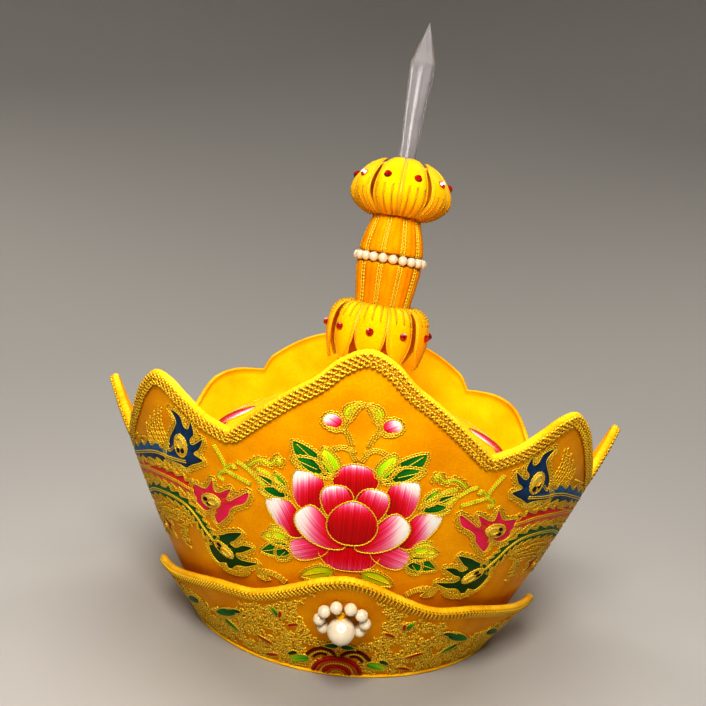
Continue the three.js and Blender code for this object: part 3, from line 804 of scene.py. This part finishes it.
def laid_cord(edge, out, down, drop, swing, shift):
    """A cord under an edge that swings from side to side, and rises and sinks where it crosses its twin."""
    line = edge + drop * down
    turn = 2 * np.pi * run_along(line) / BRAID_PERIOD + shift
    rise = BRAID_LIFT + 0.6 * BRAID_CORD * np.sign(swing) * np.cos(turn)
    return cord_tube(line + (swing * np.sin(turn))[:, None] * down + rise[:, None] * out, out, BRAID_CORD)


braid_gold = gold_thread("wound gold cord", "#94700E", "#EEC63C")
# Painted shade: a darker sheet under the braid stands for the shade in its eyelets.
eyelet_shade_ground = gold_thread("orange gold painted eyelet shade", "#B06C0C", "#D89216")
edge, out, down = edge_line(crown_face, front_top, front_angles)
braid = add_gold("crown_edge_braid", braid_gold, [
    laid_cord(edge, out, down, drop, swing, np.pi / 2 * row)
    for row, drop in enumerate(BRAID_PAIRS) for swing in (BRAID_SWING, -BRAID_SWING)
])
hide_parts("crown_braid")
points = edge[:, None] + SHADE_GROUND_DROPS[:, None] * down[:, None] + SHADE_GROUND_LIFTS[:, None] * out[:, None]
places = stacked(SHADE_GROUND_DROPS, BRAID_STEP * np.arange(len(edge))[:, None])
add_piece("crown_edge_braid_eyelet_shade", "gold_braid", [eyelet_shade_ground], points,
          grid_faces(len(edge), len(SHADE_GROUND_DROPS)), places)


# Visor.
# A flap of stiffened satin that stands out from the front of the rim: the same satins and roll as the wall,
# whipped with gold along the roll, piped at the hem and nearly covered with gold loops round a plain oval.
VISOR = {"rim": 100.3, "wall": 3.0}
VISOR_CORNERS = (90,)
WHIP = {"gap": 2.1, "top": 0.8, "bottom": 6.4, "slant": 1.8, "cord": 0.6, "lift": 0.3, "arch": 0.5}
PIPING = 1.1
HEM_HEIGHT = PIPING + 0.1
column_angles, column_widths, column_heights = wall_columns("visor")
visor_leans = (column_widths - VISOR["rim"]) / column_heights


def visor_face(angle, height):
    """Points on the outside of the visor."""
    lean = np.interp(angle, column_angles, visor_leans)
    return oval(angle, VISOR["rim"] + lean * height, height)


visor_top, visor_angles = add_wall("visor_flap", "visor", visor_face, VISOR_CORNERS, VISOR["wall"])
edge, out, down = edge_line(visor_face, visor_top, visor_angles)
ahead = unit(np.gradient(edge, axis=0))
share = np.linspace(0, 1, 8)[:, None]
drop = WHIP["top"] + (WHIP["bottom"] - WHIP["top"]) * share
rise = WHIP["lift"] + WHIP["arch"] * np.sin(np.pi * share)
bars = []
for k in range(2, len(edge) - 2, round(WHIP["gap"] / BRAID_STEP)):
    line = edge[k] + drop * down[k] + WHIP["slant"] * share * ahead[k] + rise * out[k]
    bars.append(cord_tube(line, np.repeat(out[k:k + 1], len(share), 0), WHIP["cord"]))
whipping = add_gold("visor_whip_stitches", braid_gold, bars)
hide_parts("visor_braid")
hem_angles = np.linspace(visor_angles[0] + 1, visor_angles[-1] - 1, 200)
hem = couched(visor_face, stacked(hem_angles, HEM_HEIGHT), radius=PIPING, lift=0.4)
add_silk("visor_hem_piping", roll_satin, [hem])

VISOR_CLOTH = np.array([2.1, 1.2])  # millimetres of cloth to a degree across and to a millimetre of height
VISOR_SPAN = 62  # degrees to each side that the loops cover
VISOR_HEIGHT = 62
RESERVE = {"centre": (0, 44), "half": (9.8, 20)}
BARE_EDGE = ((22, 26, 38, 46), (60, 36, 26, 30))  # degrees from the front, and the height where loops stop
EDGE_MARGIN = 8  # how far the loops keep from the top edge
THIN = {"across": 0.46, "shift": 0.9, "up": 0.27, "slant": 0.1, "cut": 0.72}  # waves that thin the loops
LOOP_SPACING = 2.7
LOOP_STRAY = 0.35
LOOP_FOOT = 3.4
LOOP_LOWEST = 3.2
LOOP_RADIUS = (0.9, 1.5)
FAN = {"foot": 1.2, "start": 0.16, "degree": 2.0, "rise": 0.95}
FAN_REACH = (7.8, 16)  # half width in degrees and height that the loops keep off
WINGS_REACH = {"across": (0.4, 9.2), "up": (13, 22.4)}
FAN_ARCS = [  # radius, cord radius, colour
    (14.4, 1.2, "red"), (12.0, 1.1, "orange"), (9.9, 0.8, "gold"), (7.9, 1.2, "red"), (5.5, 1.0, "orange"),
    (3.4, 0.8, "gold"),
]
FAN_WINGS = [  # low arches over the fan, right side; the left mirrors them: path, cord radius, colour
    ([(0.8, 16.8), (2.4, 20.2), (4.6, 21.4), (6.8, 19.2), (8.8, 14.6)], 0.95, "maroon"),
    ([(2.0, 17.4), (3.2, 18.8), (4.7, 19.2), (6.2, 17.6), (7.8, 14)], 0.8, "gold"),
    ([(3.2, 16.4), (4.6, 17), (5.8, 15.8), (6.8, 13.4)], 0.8, "maroon"),
]
FAN_COLOURS = {"maroon": "#6A1206", "red": "#B8240C", "orange": "#DC5C1C"}
VISOR_LEAVES = [  # right side; the left mirrors it
    dict(root=(0.3, 25), tip=(4.2, 24.2), width=4.6, tones=(0.0, 0.25)),
    dict(root=(8.2, 12), tip=(14.6, 7.4), width=7.0, tones=(0.55, 0.8)),
    dict(root=(11.5, 15), tip=(14.8, 11.2), width=3.6, tones=(0.0, 0.2)),
    dict(root=(28, 32.5), tip=(37.4, 23.4), width=6.0, tones=(0.1, 0.45)),
    dict(root=(26, 34.6), tip=(31.6, 30.4), width=3.4, tones=(0.05, 0.3)),
    dict(root=(34, 22), tip=(29.4, 16.4), width=5.0, tones=(0.25, 0.6)),
    dict(root=(15.2, 40.4), tip=(16.6, 46.6), width=3.6, tones=(0.3, 0.75)),
    dict(root=(44, 26), tip=(54, 17), width=6.0, tones=(0.05, 0.35)),
]
VISOR_MARKS = [
    dict(root=(10.2, 37.6), tip=(13.2, 34.4), width=2.6, tones=(0.05, 0.3)),
    dict(root=(18.6, 16.4), tip=(23.4, 19.6), width=2.8, tones=(0.2, 0.4)),
    dict(root=(17.6, 8.6), tip=(22.4, 5.6), width=2.6, tones=(0.0, 0.05)),
    dict(root=(14.2, 44.6), tip=(14.8, 39.4), width=2.4, tones=(0.0, 0.05)),
]


def is_stitched(angle, height):
    """Whether gold loops cover a place: not the oval, fan, bare satin by the edge or a thin patch."""
    across = (angle - RESERVE["centre"][0]) / RESERVE["half"][0]
    up = (height - RESERVE["centre"][1]) / RESERVE["half"][1]
    near, far = WINGS_REACH["across"]
    foot, top = WINGS_REACH["up"]
    wings = near < abs(angle) < far and foot < height < top
    fan = (angle / FAN_REACH[0]) ** 2 + (height / FAN_REACH[1]) ** 2 < 1
    waves = math.sin(THIN["across"] * angle + THIN["shift"])
    waves *= math.sin(THIN["up"] * height + THIN["slant"] * angle)
    below_edge = height < min(visor_top(angle) - EDGE_MARGIN, np.interp(abs(angle), *BARE_EDGE))
    outside = across ** 2 + up ** 2 > 1 and not wings and not fan
    return outside and below_edge and waves <= THIN["cut"]


rng = random.Random(5)
loops = []
pitch = LOOP_SPACING / VISOR_CLOTH
for column in range(int(2 * VISOR_SPAN / pitch[0])):
    for row in range(int(VISOR_HEIGHT / pitch[1])):
        angle = -VISOR_SPAN + (column + rng.uniform(-LOOP_STRAY, LOOP_STRAY)) * pitch[0]
        height = LOOP_FOOT + (row + rng.uniform(-LOOP_STRAY, LOOP_STRAY)) * pitch[1]
        start, size = rng.uniform(0, 2 * math.pi), rng.uniform(*LOOP_RADIUS)
        if height >= LOOP_LOWEST and is_stitched(angle, height):
            turn = np.linspace(start, start + 1.5 * math.pi, 9)
            circle = np.stack([np.cos(turn), np.sin(turn)], -1)
            loops.append(couched(visor_face, (angle, height) + size / VISOR_CLOTH * circle, radius=0.48))
visor_gold = gold_thread("bright looped gold cord", "#B28818", "#FAD84A")
add_gold("visor_gold_loops", visor_gold, loops)

arcs = []
for radius, thick, colour in FAN_ARCS:
    turn = np.linspace(FAN["start"], np.pi - FAN["start"], 40)
    height = FAN["foot"] + radius * np.sin(turn) * FAN["rise"]
    arcs.append((np.stack([radius * np.cos(turn) / FAN["degree"], height], -1), thick, colour))
for side in (1, -1):
    arcs += [(smooth(path, 40) * (side, 1), thick, colour) for path, thick, colour in FAN_WINGS]
fan_parts = {colour: [] for colour in [*FAN_COLOURS, "gold"]}
for path, thick, colour in arcs:
    fan_parts[colour].append(couched(visor_face, path, radius=thick))
cords = fan_parts.pop("gold")
fan_silks = {name: silk(f"{name} fan silk", [(0.0, tint), (1.0, tint)])
             for name, tint in FAN_COLOURS.items()}
for colour, parts in fan_parts.items():
    add_silk(f"visor_fan_{colour}", fan_silks[colour], parts)
patches, marks = [], []
for leaf in both_sides(VISOR_LEAVES):
    patch, border = stitch_patch(visor_face, **leaf, ends=(0.5, 0.8), layer=0.5)
    patches.append(patch)
    cords.append(couched(visor_face, border, lift=0.6))
for mark in both_sides(VISOR_MARKS):
    patch, border = stitch_patch(visor_face, **mark, ends=(0.5, 0.5), layer=0.5)
    marks.append(patch)
    cords.append(couched(visor_face, border, radius=0.4, lift=0.6))
add_silk("visor_leaves", leaf_silk, patches)
add_silk("visor_red_marks", fan_silks["red"], marks)
add_gold("visor_gold_outline", couched_gold, cords)


# Rosette.
# An arch of eight small imitation pearls round a large one set lower, sewn through their drilled holes to
# the middle of the visor with yellow thread: glass or plastic beads dipped in a lustrous ivory coat.
PEARL_ROWS = 16
PEARL_COLUMNS = 24
PEARL_HOLE = {"radius": 0.55, "depth": 0.09}  # the depth is a share of the pearl's diameter
ROSETTE_PLACE = (0.0, 48.4)
ROSETTE_COUNT = 8
ROSETTE_TILT = 0.35  # how far the large pearl's hole tilts out
KNOT = {"place": (-0.4, 51.0), "radius": 1.9, "cord": 0.8, "turns": 3, "lift": 5.6}
KNOT_CLOTH = np.array([2.0, 1.2])


def clouded(material, shader, place, scale, detail, stops):
    """Gives a material a colour that drifts softly between two shades."""
    cloud = add_node(material, "TexNoise", {"Vector": place, "Scale": scale, "Detail": detail})
    colour = add_node(material, "ValToRGB", {"Fac": cloud.outputs["Fac"]}, stops=stops)
    material.node_tree.links.new(colour.outputs["Color"], shader.inputs["Base Color"])


def pearl_mesh(centre, diameter, axis):
    """A round bead with a small dimple at each end of its drilled hole."""
    swing = np.linspace(0.04, np.pi - 0.04, PEARL_ROWS)
    radius = 0.5 * diameter * np.sin(swing)
    rise = 0.5 * diameter * np.cos(swing)
    dimple = PEARL_HOLE["depth"] * diameter * np.exp(-(radius / PEARL_HOLE["radius"]) ** 2)
    rise -= np.sign(rise) * dimple
    axis = unit(np.asarray(axis, float))
    first = unit(np.cross(axis, (0.3, 0.9, 0.2)))
    second = np.cross(axis, first)
    ring = np.linspace(0, 2 * np.pi, PEARL_COLUMNS, endpoint=False)[None, :, None]
    spokes = np.cos(ring) * first + np.sin(ring) * second
    points = np.asarray(centre) + rise[:, None, None] * axis + radius[:, None, None] * spokes
    places = stacked(ring[..., 0], swing[:, None]) * diameter / 2
    return points, tube_faces(PEARL_ROWS, PEARL_COLUMNS), places


def ball(node):
    """The centre and the width of a round solid."""
    low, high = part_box(node)
    return np.array((low + high) / 2) / MM, (high.x - low.x) / MM


pearl_coat, shader = new_material("ivory pearl coat", roughness=0.22, coat_weight=0.6, coat_roughness=0.08,
                                  sheen_weight=0.15, subsurface_weight=0.15,
                                  subsurface_radius=(0.004, 0.003, 0.002))
clouded(pearl_coat, shader, add_node(pearl_coat, "UVMap").outputs["UV"], 0.12, 1.0,
        [(0.3, "#CFC2A8"), (0.7, "#DCD0BA")])
rosette_out = lifted(visor_face, *ROSETTE_PLACE)[1]
rosette_up = np.cross(rosette_out, (1, 0, 0))
rosette_up *= np.sign(rosette_up[2])
big_centre, big_size = ball("rosette_pearl_centre")
big_pearl = add_piece("rosette_pearl_large", "pearl", [pearl_coat],
                      *pearl_mesh(big_centre, big_size, rosette_up + ROSETTE_TILT * rosette_out))
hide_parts("rosette_pearl_centre")
for k in range(1, ROSETTE_COUNT + 1):
    centre, size = ball(f"rosette_pearl_{k}")
    towards = centre - big_centre
    towards -= rosette_out * towards.dot(rosette_out)
    pearl = add_piece(f"rosette_pearl_small_{k}", "pearl", [pearl_coat], *pearl_mesh(centre, size, towards))
    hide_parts(f"rosette_pearl_{k}")
swing = np.linspace(0, 2 * np.pi * KNOT["turns"], 60)
shrink = np.linspace(1, 0.15, len(swing))[:, None] * KNOT["radius"]
coil = KNOT["place"] + shrink * np.stack([np.cos(swing), np.sin(swing)], -1) / KNOT_CLOTH
coil_lift = np.linspace(0.4, 1, len(swing)) * KNOT["lift"]
add_piece("rosette_thread_knot", "yellow_satin", [roll_satin],
          *cord_tube(*lifted(visor_face, coil[:, 0], coil[:, 1], coil_lift), KNOT["cord"]))


# Finial stem.
# A stuffed stem of yellow satin strips that stands on the cap, leans a little, and is drawn in where the
# pearls are tied round it. Each seam between two strips is covered by three gold cords.
FINIAL = {"place": np.array([2.2, BACK_SHIFT, 144.8]), "lean": 3.7}
STEM_PROFILE = [  # height, radius
    (0, 16.8), (28, 17.4), (51.5, 18.2), (66, 20), (78, 21.2), (80.5, 17.8), (84.5, 17.8), (87, 20.8),
    (95.5, 19.6), (104.5, 16.9), (111.5, 15.2), (117.5, 14.4),
]
STEM = {"strips": 10, "turn": 2, "seam": 1.8, "fold": 0.3}
STEM_ROWS = 80
STEM_COLUMNS = 180
STEM_SCALE = np.array([0.33, 1])  # millimetres to a degree round the stem and to a millimetre of height
SEAM_CORD = {"asides": (-1.2, 0, 1.2), "radius": 0.62, "wave": 0.4, "spans": [(50, 79.5), (85.5, 113)]}


def on_finial(points):
    """Points of the finial's own upright frame, where it stands and leans on the cap."""
    lean = math.radians(FINIAL["lean"])
    turn = np.array([[math.cos(lean), 0, math.sin(lean)], [0, 1, 0], [-math.sin(lean), 0, math.cos(lean)]])
    return np.asarray(points) @ turn.T + FINIAL["place"]


def around(angle, radius, height):
    """Points round the finial's axis, at an angle from the front."""
    turn = np.radians(angle)
    return on_finial(stacked(radius * np.sin(turn), -radius * np.cos(turn), height))


stem_profile = smooth(STEM_PROFILE, STEM_ROWS)


def stem_face(angle, height):
    """Points on the stem: strips that bulge between their seams, with a few soft upright folds in each."""
    radius = np.interp(height, stem_profile[:, 0], stem_profile[:, 1])
    phase = 0.5 * STEM["strips"] * np.radians(angle - STEM["turn"])
    dip = STEM["seam"] * (1 - np.abs(np.cos(phase))) ** 2 + STEM["fold"] * (0.5 + 0.5 * np.cos(6 * phase))
    return around(angle, radius - dip, height)


stem_angles = np.linspace(0, 360, STEM_COLUMNS, endpoint=False)
stem_heights = stem_profile[:, :1]
strip_satin = satin("golden yellow satin", "#CC7C00", "#DE9200", "#EEA80C", relief=0.15)
stem = add_piece("stem_strips", "yellow_satin", [strip_satin], stem_face(stem_angles, stem_heights),
                 tube_faces(STEM_ROWS, STEM_COLUMNS), stacked(stem_angles, stem_heights) * STEM_SCALE)
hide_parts("stem")
cords = []
for k in range(STEM["strips"]):
    seam = STEM["turn"] + (k + 0.5) * 360 / STEM["strips"]
    for span in SEAM_CORD["spans"]:
        path = stacked(seam, np.linspace(*span, 30))
        cords += [couched(stem_face, path, radius=SEAM_CORD["radius"], aside=aside, wave=SEAM_CORD["wave"],
                          scale=STEM_SCALE) for aside in SEAM_CORD["asides"]]
add_gold("stem_seam_cords", couched_gold, cords)


# Lotus rings.
# Two rings of ten padded satin petals sewn round the stem: the collar's hang down and end in points, the
# bud's rise and close round the spear. Each has two layers over wadding, a corded edge and stitched veins.
COLLAR_PETAL = [  # radius, height and half angle, from the tip up to the root
    (26.5, 14.5, 1.0), (29.6, 27, 14.5), (30.4, 36.5, 17.6), (28.5, 45.5, 17.9), (24, 51, 18.4),
    (18.2, 52.5, 18.4),
]
BUD_PETAL = [  # radius, height and half angle, from the root up to the tip
    (15.7, 110.5, 18.4), (22.5, 114, 18.4), (28, 120, 17.9), (28.6, 126.5, 17.8), (26, 132.5, 17.2),
    (20.5, 139.5, 15.5), (13, 144, 3.0),
]
BUD_FRONT = BUD_PETAL[:4] + [(26.5, 132.5, 17.8), (21.5, 139, 17.8), (13.5, 143.6, 17.4), (7, 145.4, 12)]
BUD_FRONT_PLACES = (0, -1)  # the two petals that close over the front
COLLAR_TURN = -9
BUD_TURN = 16
PETAL_COUNT = 10
PETAL_FILL = {"thickness": 2.0, "swell": 1.6, "edge": 0.45}
PETAL_EDGES = {  # how far a petal's left and right edges are drawn in, by its place from the front one
    "collar": {0: (1.0, 1.0), 1: (1.0, 4.0), 2: (-0.6, 2.0), -1: (4.0, 1.0), -2: (2.0, -0.6)},
    "bud": {0: (1.0, 4.0), 1: (-0.6, 2.0), -1: (4.0, 1.0), -2: (2.0, -0.6)},
}
PLAIN_EDGES = (1.8, 1.8)
PETAL_ROWS = 30
PETAL_COLUMNS = 13
PETAL_HEM = 0.98  # how far across its half width a petal's edge cord lies
VEINS = (-0.5, 0.0, 0.5)
PETAL_SCALE = np.array([9, 9])  # millimetres to a petal's half width and to a row of its table


def lotus_face(rows, turn, edges):
    """The middle layer of one petal: across runs from -1 to 1 between its edges, and up along its rows."""
    fine = smooth(rows, 240)
    index = np.linspace(0, len(rows) - 1, len(fine))

    def face(across, along):
        radius, height, half = (np.interp(along, index, fine[:, k]) for k in range(3))
        belly = np.sin(np.pi * np.clip(along / (len(rows) - 1), 0, 1))
        drawn_in = np.where(np.asarray(across) < 0, edges[0], edges[1]) * belly * np.asarray(across) ** 2
        radius = radius + PETAL_FILL["thickness"] / 2 + PETAL_FILL["swell"] - drawn_in
        return around(turn + across * half, radius, height)

    return face


def lotus_petal(face, rows):
    """One padded petal, closed all round, and the path of its edge cord."""
    along = np.linspace(0, len(rows) - 1, PETAL_ROWS)[:, None]
    across = np.linspace(-1, 1, PETAL_COLUMNS)[None, :]
    half = 0.5 * PETAL_FILL["thickness"] * np.sqrt(1 - (1 - PETAL_FILL["edge"] ** 2) * across ** 2)
    front, _ = lifted(face, across, along, half)
    back, _ = lifted(face, across, along, -half)
    points = np.concatenate([front, back[:, ::-1]], 1)
    places = stacked(np.r_[across[0], across[0, ::-1]], along) * PETAL_SCALE
    left, right = (stacked(side, along[:, 0]) for side in (-PETAL_HEM, PETAL_HEM))
    return (points, tube_faces(*points.shape[:2]), places), np.concatenate([left, right[::-1]])


def lotus_ring(name, node, rows_at, first, edges, tip_first):
    """A ring of petals in place of its solid, and the gold cord along their edges and veins."""
    petals, cords, veins = [], [], []
    for k in range(PETAL_COUNT):
        place = k if k < PETAL_COUNT / 2 else k - PETAL_COUNT
        rows = rows_at(place)
        face = lotus_face(rows, first + 360 / PETAL_COUNT * k, edges.get(place, PLAIN_EDGES))
        petal, edge = lotus_petal(face, rows)
        petals.append(petal)
        if tip_first:
            edge = np.roll(edge, len(edge) // 2, axis=0)
        cords.append(couched(face, edge, lift=0.2, scale=PETAL_SCALE))
        cords.append(couched(face, edge, radius=0.4, lift=0.75, aside=1.2, wave=0.4, scale=PETAL_SCALE))
        span = len(rows) - 1
        ends = (0.55 * span, span - 0.1) if tip_first else (0.1, 0.45 * span)
        for vein in VEINS:
            path = stacked(vein, np.linspace(*ends, 20))
            veins.append(couched(face, path, radius=0.42, lift=1.1, wave=0.6, scale=PETAL_SCALE))
    ring = add_piece(name, "yellow_satin", [petal_satin], *joined(petals))
    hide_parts(node)
    add_gold(name + "_gold_outline", couched_gold, cords)
    add_gold(name + "_veins", vein_thread, veins)


vein_thread = gold_thread("dull gold vein thread", "#8C6A10", "#DCB634")
petal_satin = satin("bright lotus satin", "#E8A400", "#F6BA00", "#FFD21C", relief=0.15)
lotus_ring("collar_petals", "collar_lotus", lambda place: COLLAR_PETAL, COLLAR_TURN, PETAL_EDGES["collar"],
           tip_first=True)
lotus_ring("bud_petals", "bud_lotus", lambda place: BUD_FRONT if place in BUD_FRONT_PLACES else BUD_PETAL,
           BUD_TURN, PETAL_EDGES["bud"], tip_first=False)


# String of pearls.
# Twenty one small imitation pearls threaded in a ring and tied round the stem's waist.
PEARL_RING = {"height": 82.5, "radius": 21.1, "pearl": 6.2, "count": 21, "thread": 0.5, "first": 90}

beads = []
for k in range(PEARL_RING["count"]):
    turn = PEARL_RING["first"] + 360 / PEARL_RING["count"] * k
    centre, ahead = around(np.array([turn, turn + 1]), PEARL_RING["radius"], PEARL_RING["height"])
    beads.append(pearl_mesh(centre, PEARL_RING["pearl"], ahead - centre))
bead_faces = sum(len(faces) for _, faces, _ in beads)
turns = np.linspace(0, 360, 120)
thread_line = around(turns, PEARL_RING["radius"], PEARL_RING["height"])
thread_out = unit(thread_line - around(turns, 0, PEARL_RING["height"]))
points, faces, places = joined([*beads, cord_tube(thread_line, thread_out, PEARL_RING["thread"])])
zones = [0] * bead_faces + [1] * (len(faces) - bead_faces)
pearl_ring = add_piece("pearl_string", "pearl", [pearl_coat, couched_gold], points, faces, places, zones)
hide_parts("pearl_ring")


# Red stones.
# Small faceted stones of red glass with a foiled back, glued to the swell of each lotus petal: the foil
# gives the glass a deep colour, and the foil's bright points are a painted reflection, clouds of brighter
# red.
def show_in(material, node):
    """Gives a solid, whose shape serves as it is, its material."""
    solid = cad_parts[node]
    solid.data.materials.clear()
    solid.data.materials.append(material)


red_glass, shader = new_material("foiled red glass", roughness=0.08, ior=1.52, coat_weight=0.5,
                                 coat_roughness=0.03)
# Deep red glass, with brighter clouds of painted reflection that stand for the foil's sparkle.
clouded(red_glass, shader, add_node(red_glass, "TexCoord").outputs["Object"], 0.4 / MM, 1.0,
        [(0.35, "#640804"), (0.65, "#BC2410")])
for ring in ("collar", "bud"):
    for k in range(1, PETAL_COUNT + 1):
        show_in(red_glass, f"{ring}_stone_{k}")


# Crystal spear.
# A solid icicle of clear cut glass with eight long facets, its foot held in the heart of the bud: the eye
# sees the room through it, bent by the facets and a little greyed.
cut_glass, shader = new_material("clear cut glass", roughness=0.08, ior=1.52, transmission_weight=0.82)
clouded(cut_glass, shader, add_node(cut_glass, "TexCoord").outputs["Object"], 0.05 / MM, 2.0,
        [(0.3, "#D6D4D8"), (0.7, "#E6E4E8")])
show_in(cut_glass, "crystal_spike")


# Stage.
# A plain pale floor that sweeps up all round, under soft studio light, seen from the photograph's place.
SWEEP = {"flat": 0.9, "bend": 2.4, "top": 4.0, "columns": 96, "rows": 24}  # metres
CAMERA = {"place": (-1.84, -496.88, 220.12), "pitch": 6.42, "yaw": 0.963, "roll": 5.732, "focal": 763.35}
IMAGE_SIZE = 706
SENSOR = 36.0
CROWN_AIM = (0, 0, 0.15)
LIGHTS = [  # name, place in metres, size in metres, watts
    ("front lamp", (-0.03, -0.55, 0.5), 0.25, 4.2),
    ("overhead", (0, 0.3, 3.3), 2.4, 48),
    ("right rear", (1.2, 1.0, 1.7), 1.0, 10),
    ("left rear", (-1.2, 1.0, 1.7), 1.0, 10),
]
LAMP_COLOUR = "#FFFAF4"
ROOM = {"colour": "#D8D6D2", "strength": 0.07}


def place_camera():
    """The camera fitted to the photograph: its place, the way it looks, and its roll."""
    pitch, yaw, roll = (math.radians(CAMERA[key]) for key in ("pitch", "yaw", "roll"))
    back = np.array([math.sin(yaw) * math.cos(pitch), -math.cos(yaw) * math.cos(pitch), math.sin(pitch)])
    right = np.array([math.cos(yaw), math.sin(yaw), 0])
    up = np.cross(back, right)
    turned_right = math.cos(roll) * right + math.sin(roll) * up
    turned_up = math.cos(roll) * up - math.sin(roll) * right
    camera = bpy.data.objects.new("camera", bpy.data.cameras.new("camera"))
    camera.data.sensor_width = SENSOR
    camera.data.lens = CAMERA["focal"] / IMAGE_SIZE * SENSOR
    camera.data.clip_start = 0.01
    axes = np.stack([turned_right, turned_up, back], 1)
    place = np.array(CAMERA["place"]) * MM
    camera.matrix_world = Matrix([[*axes[k], place[k]] for k in range(3)] + [[0, 0, 0, 1]])
    bpy.context.scene.collection.objects.link(camera)
    bpy.context.scene.camera = camera


place_camera()
floor_paper, shader = new_material("pale grey backdrop paper", roughness=0.9, base_color=linear("#A4A29F"))
swing = np.linspace(0, np.pi / 2, SWEEP["rows"])
wide = SWEEP["flat"] + SWEEP["bend"]
sweep_radius = np.r_[0.001, SWEEP["flat"] + SWEEP["bend"] * np.sin(swing), wide][:, None]
sweep_height = np.r_[0, SWEEP["bend"] * (1 - np.cos(swing)), SWEEP["top"]][:, None]
turn = np.linspace(0, 2 * np.pi, SWEEP["columns"], endpoint=False)
floor_points = stacked(sweep_radius * np.cos(turn), sweep_radius * np.sin(turn), sweep_height)
floor_faces = grid_faces(len(sweep_radius), SWEEP["columns"], closed=True)
floor_mesh = bpy.data.meshes.new("floor")
floor_mesh.from_pydata(floor_points.reshape(-1, 3).tolist(), [], floor_faces)
floor_mesh.polygons.foreach_set("use_smooth", np.ones(len(floor_mesh.polygons), bool))
floor_mesh.materials.append(floor_paper)
floor = bpy.data.objects.new("floor", floor_mesh)
bpy.context.scene.collection.objects.link(floor)
for name, place, size, watts in LIGHTS:
    lamp = bpy.data.lights.new(name, "AREA")
    lamp.shape = "DISK"
    lamp.size = size
    lamp.energy = watts
    lamp.color = linear(LAMP_COLOUR)[:3]
    light = bpy.data.objects.new(name, lamp)
    light.location = place
    light.rotation_euler = (Vector(place) - Vector(CROWN_AIM)).to_track_quat("Z", "Y").to_euler()
    light.visible_camera = False
    bpy.context.scene.collection.objects.link(light)
world = bpy.data.worlds.new("soft white room")
world.use_nodes = True
world.node_tree.nodes["Background"].inputs["Color"].default_value = linear(ROOM["colour"])
world.node_tree.nodes["Background"].inputs["Strength"].default_value = ROOM["strength"]
bpy.context.scene.world = world
bpy.context.scene.view_settings.view_transform = "Standard"
bpy.context.scene.view_settings.look = "High Contrast"
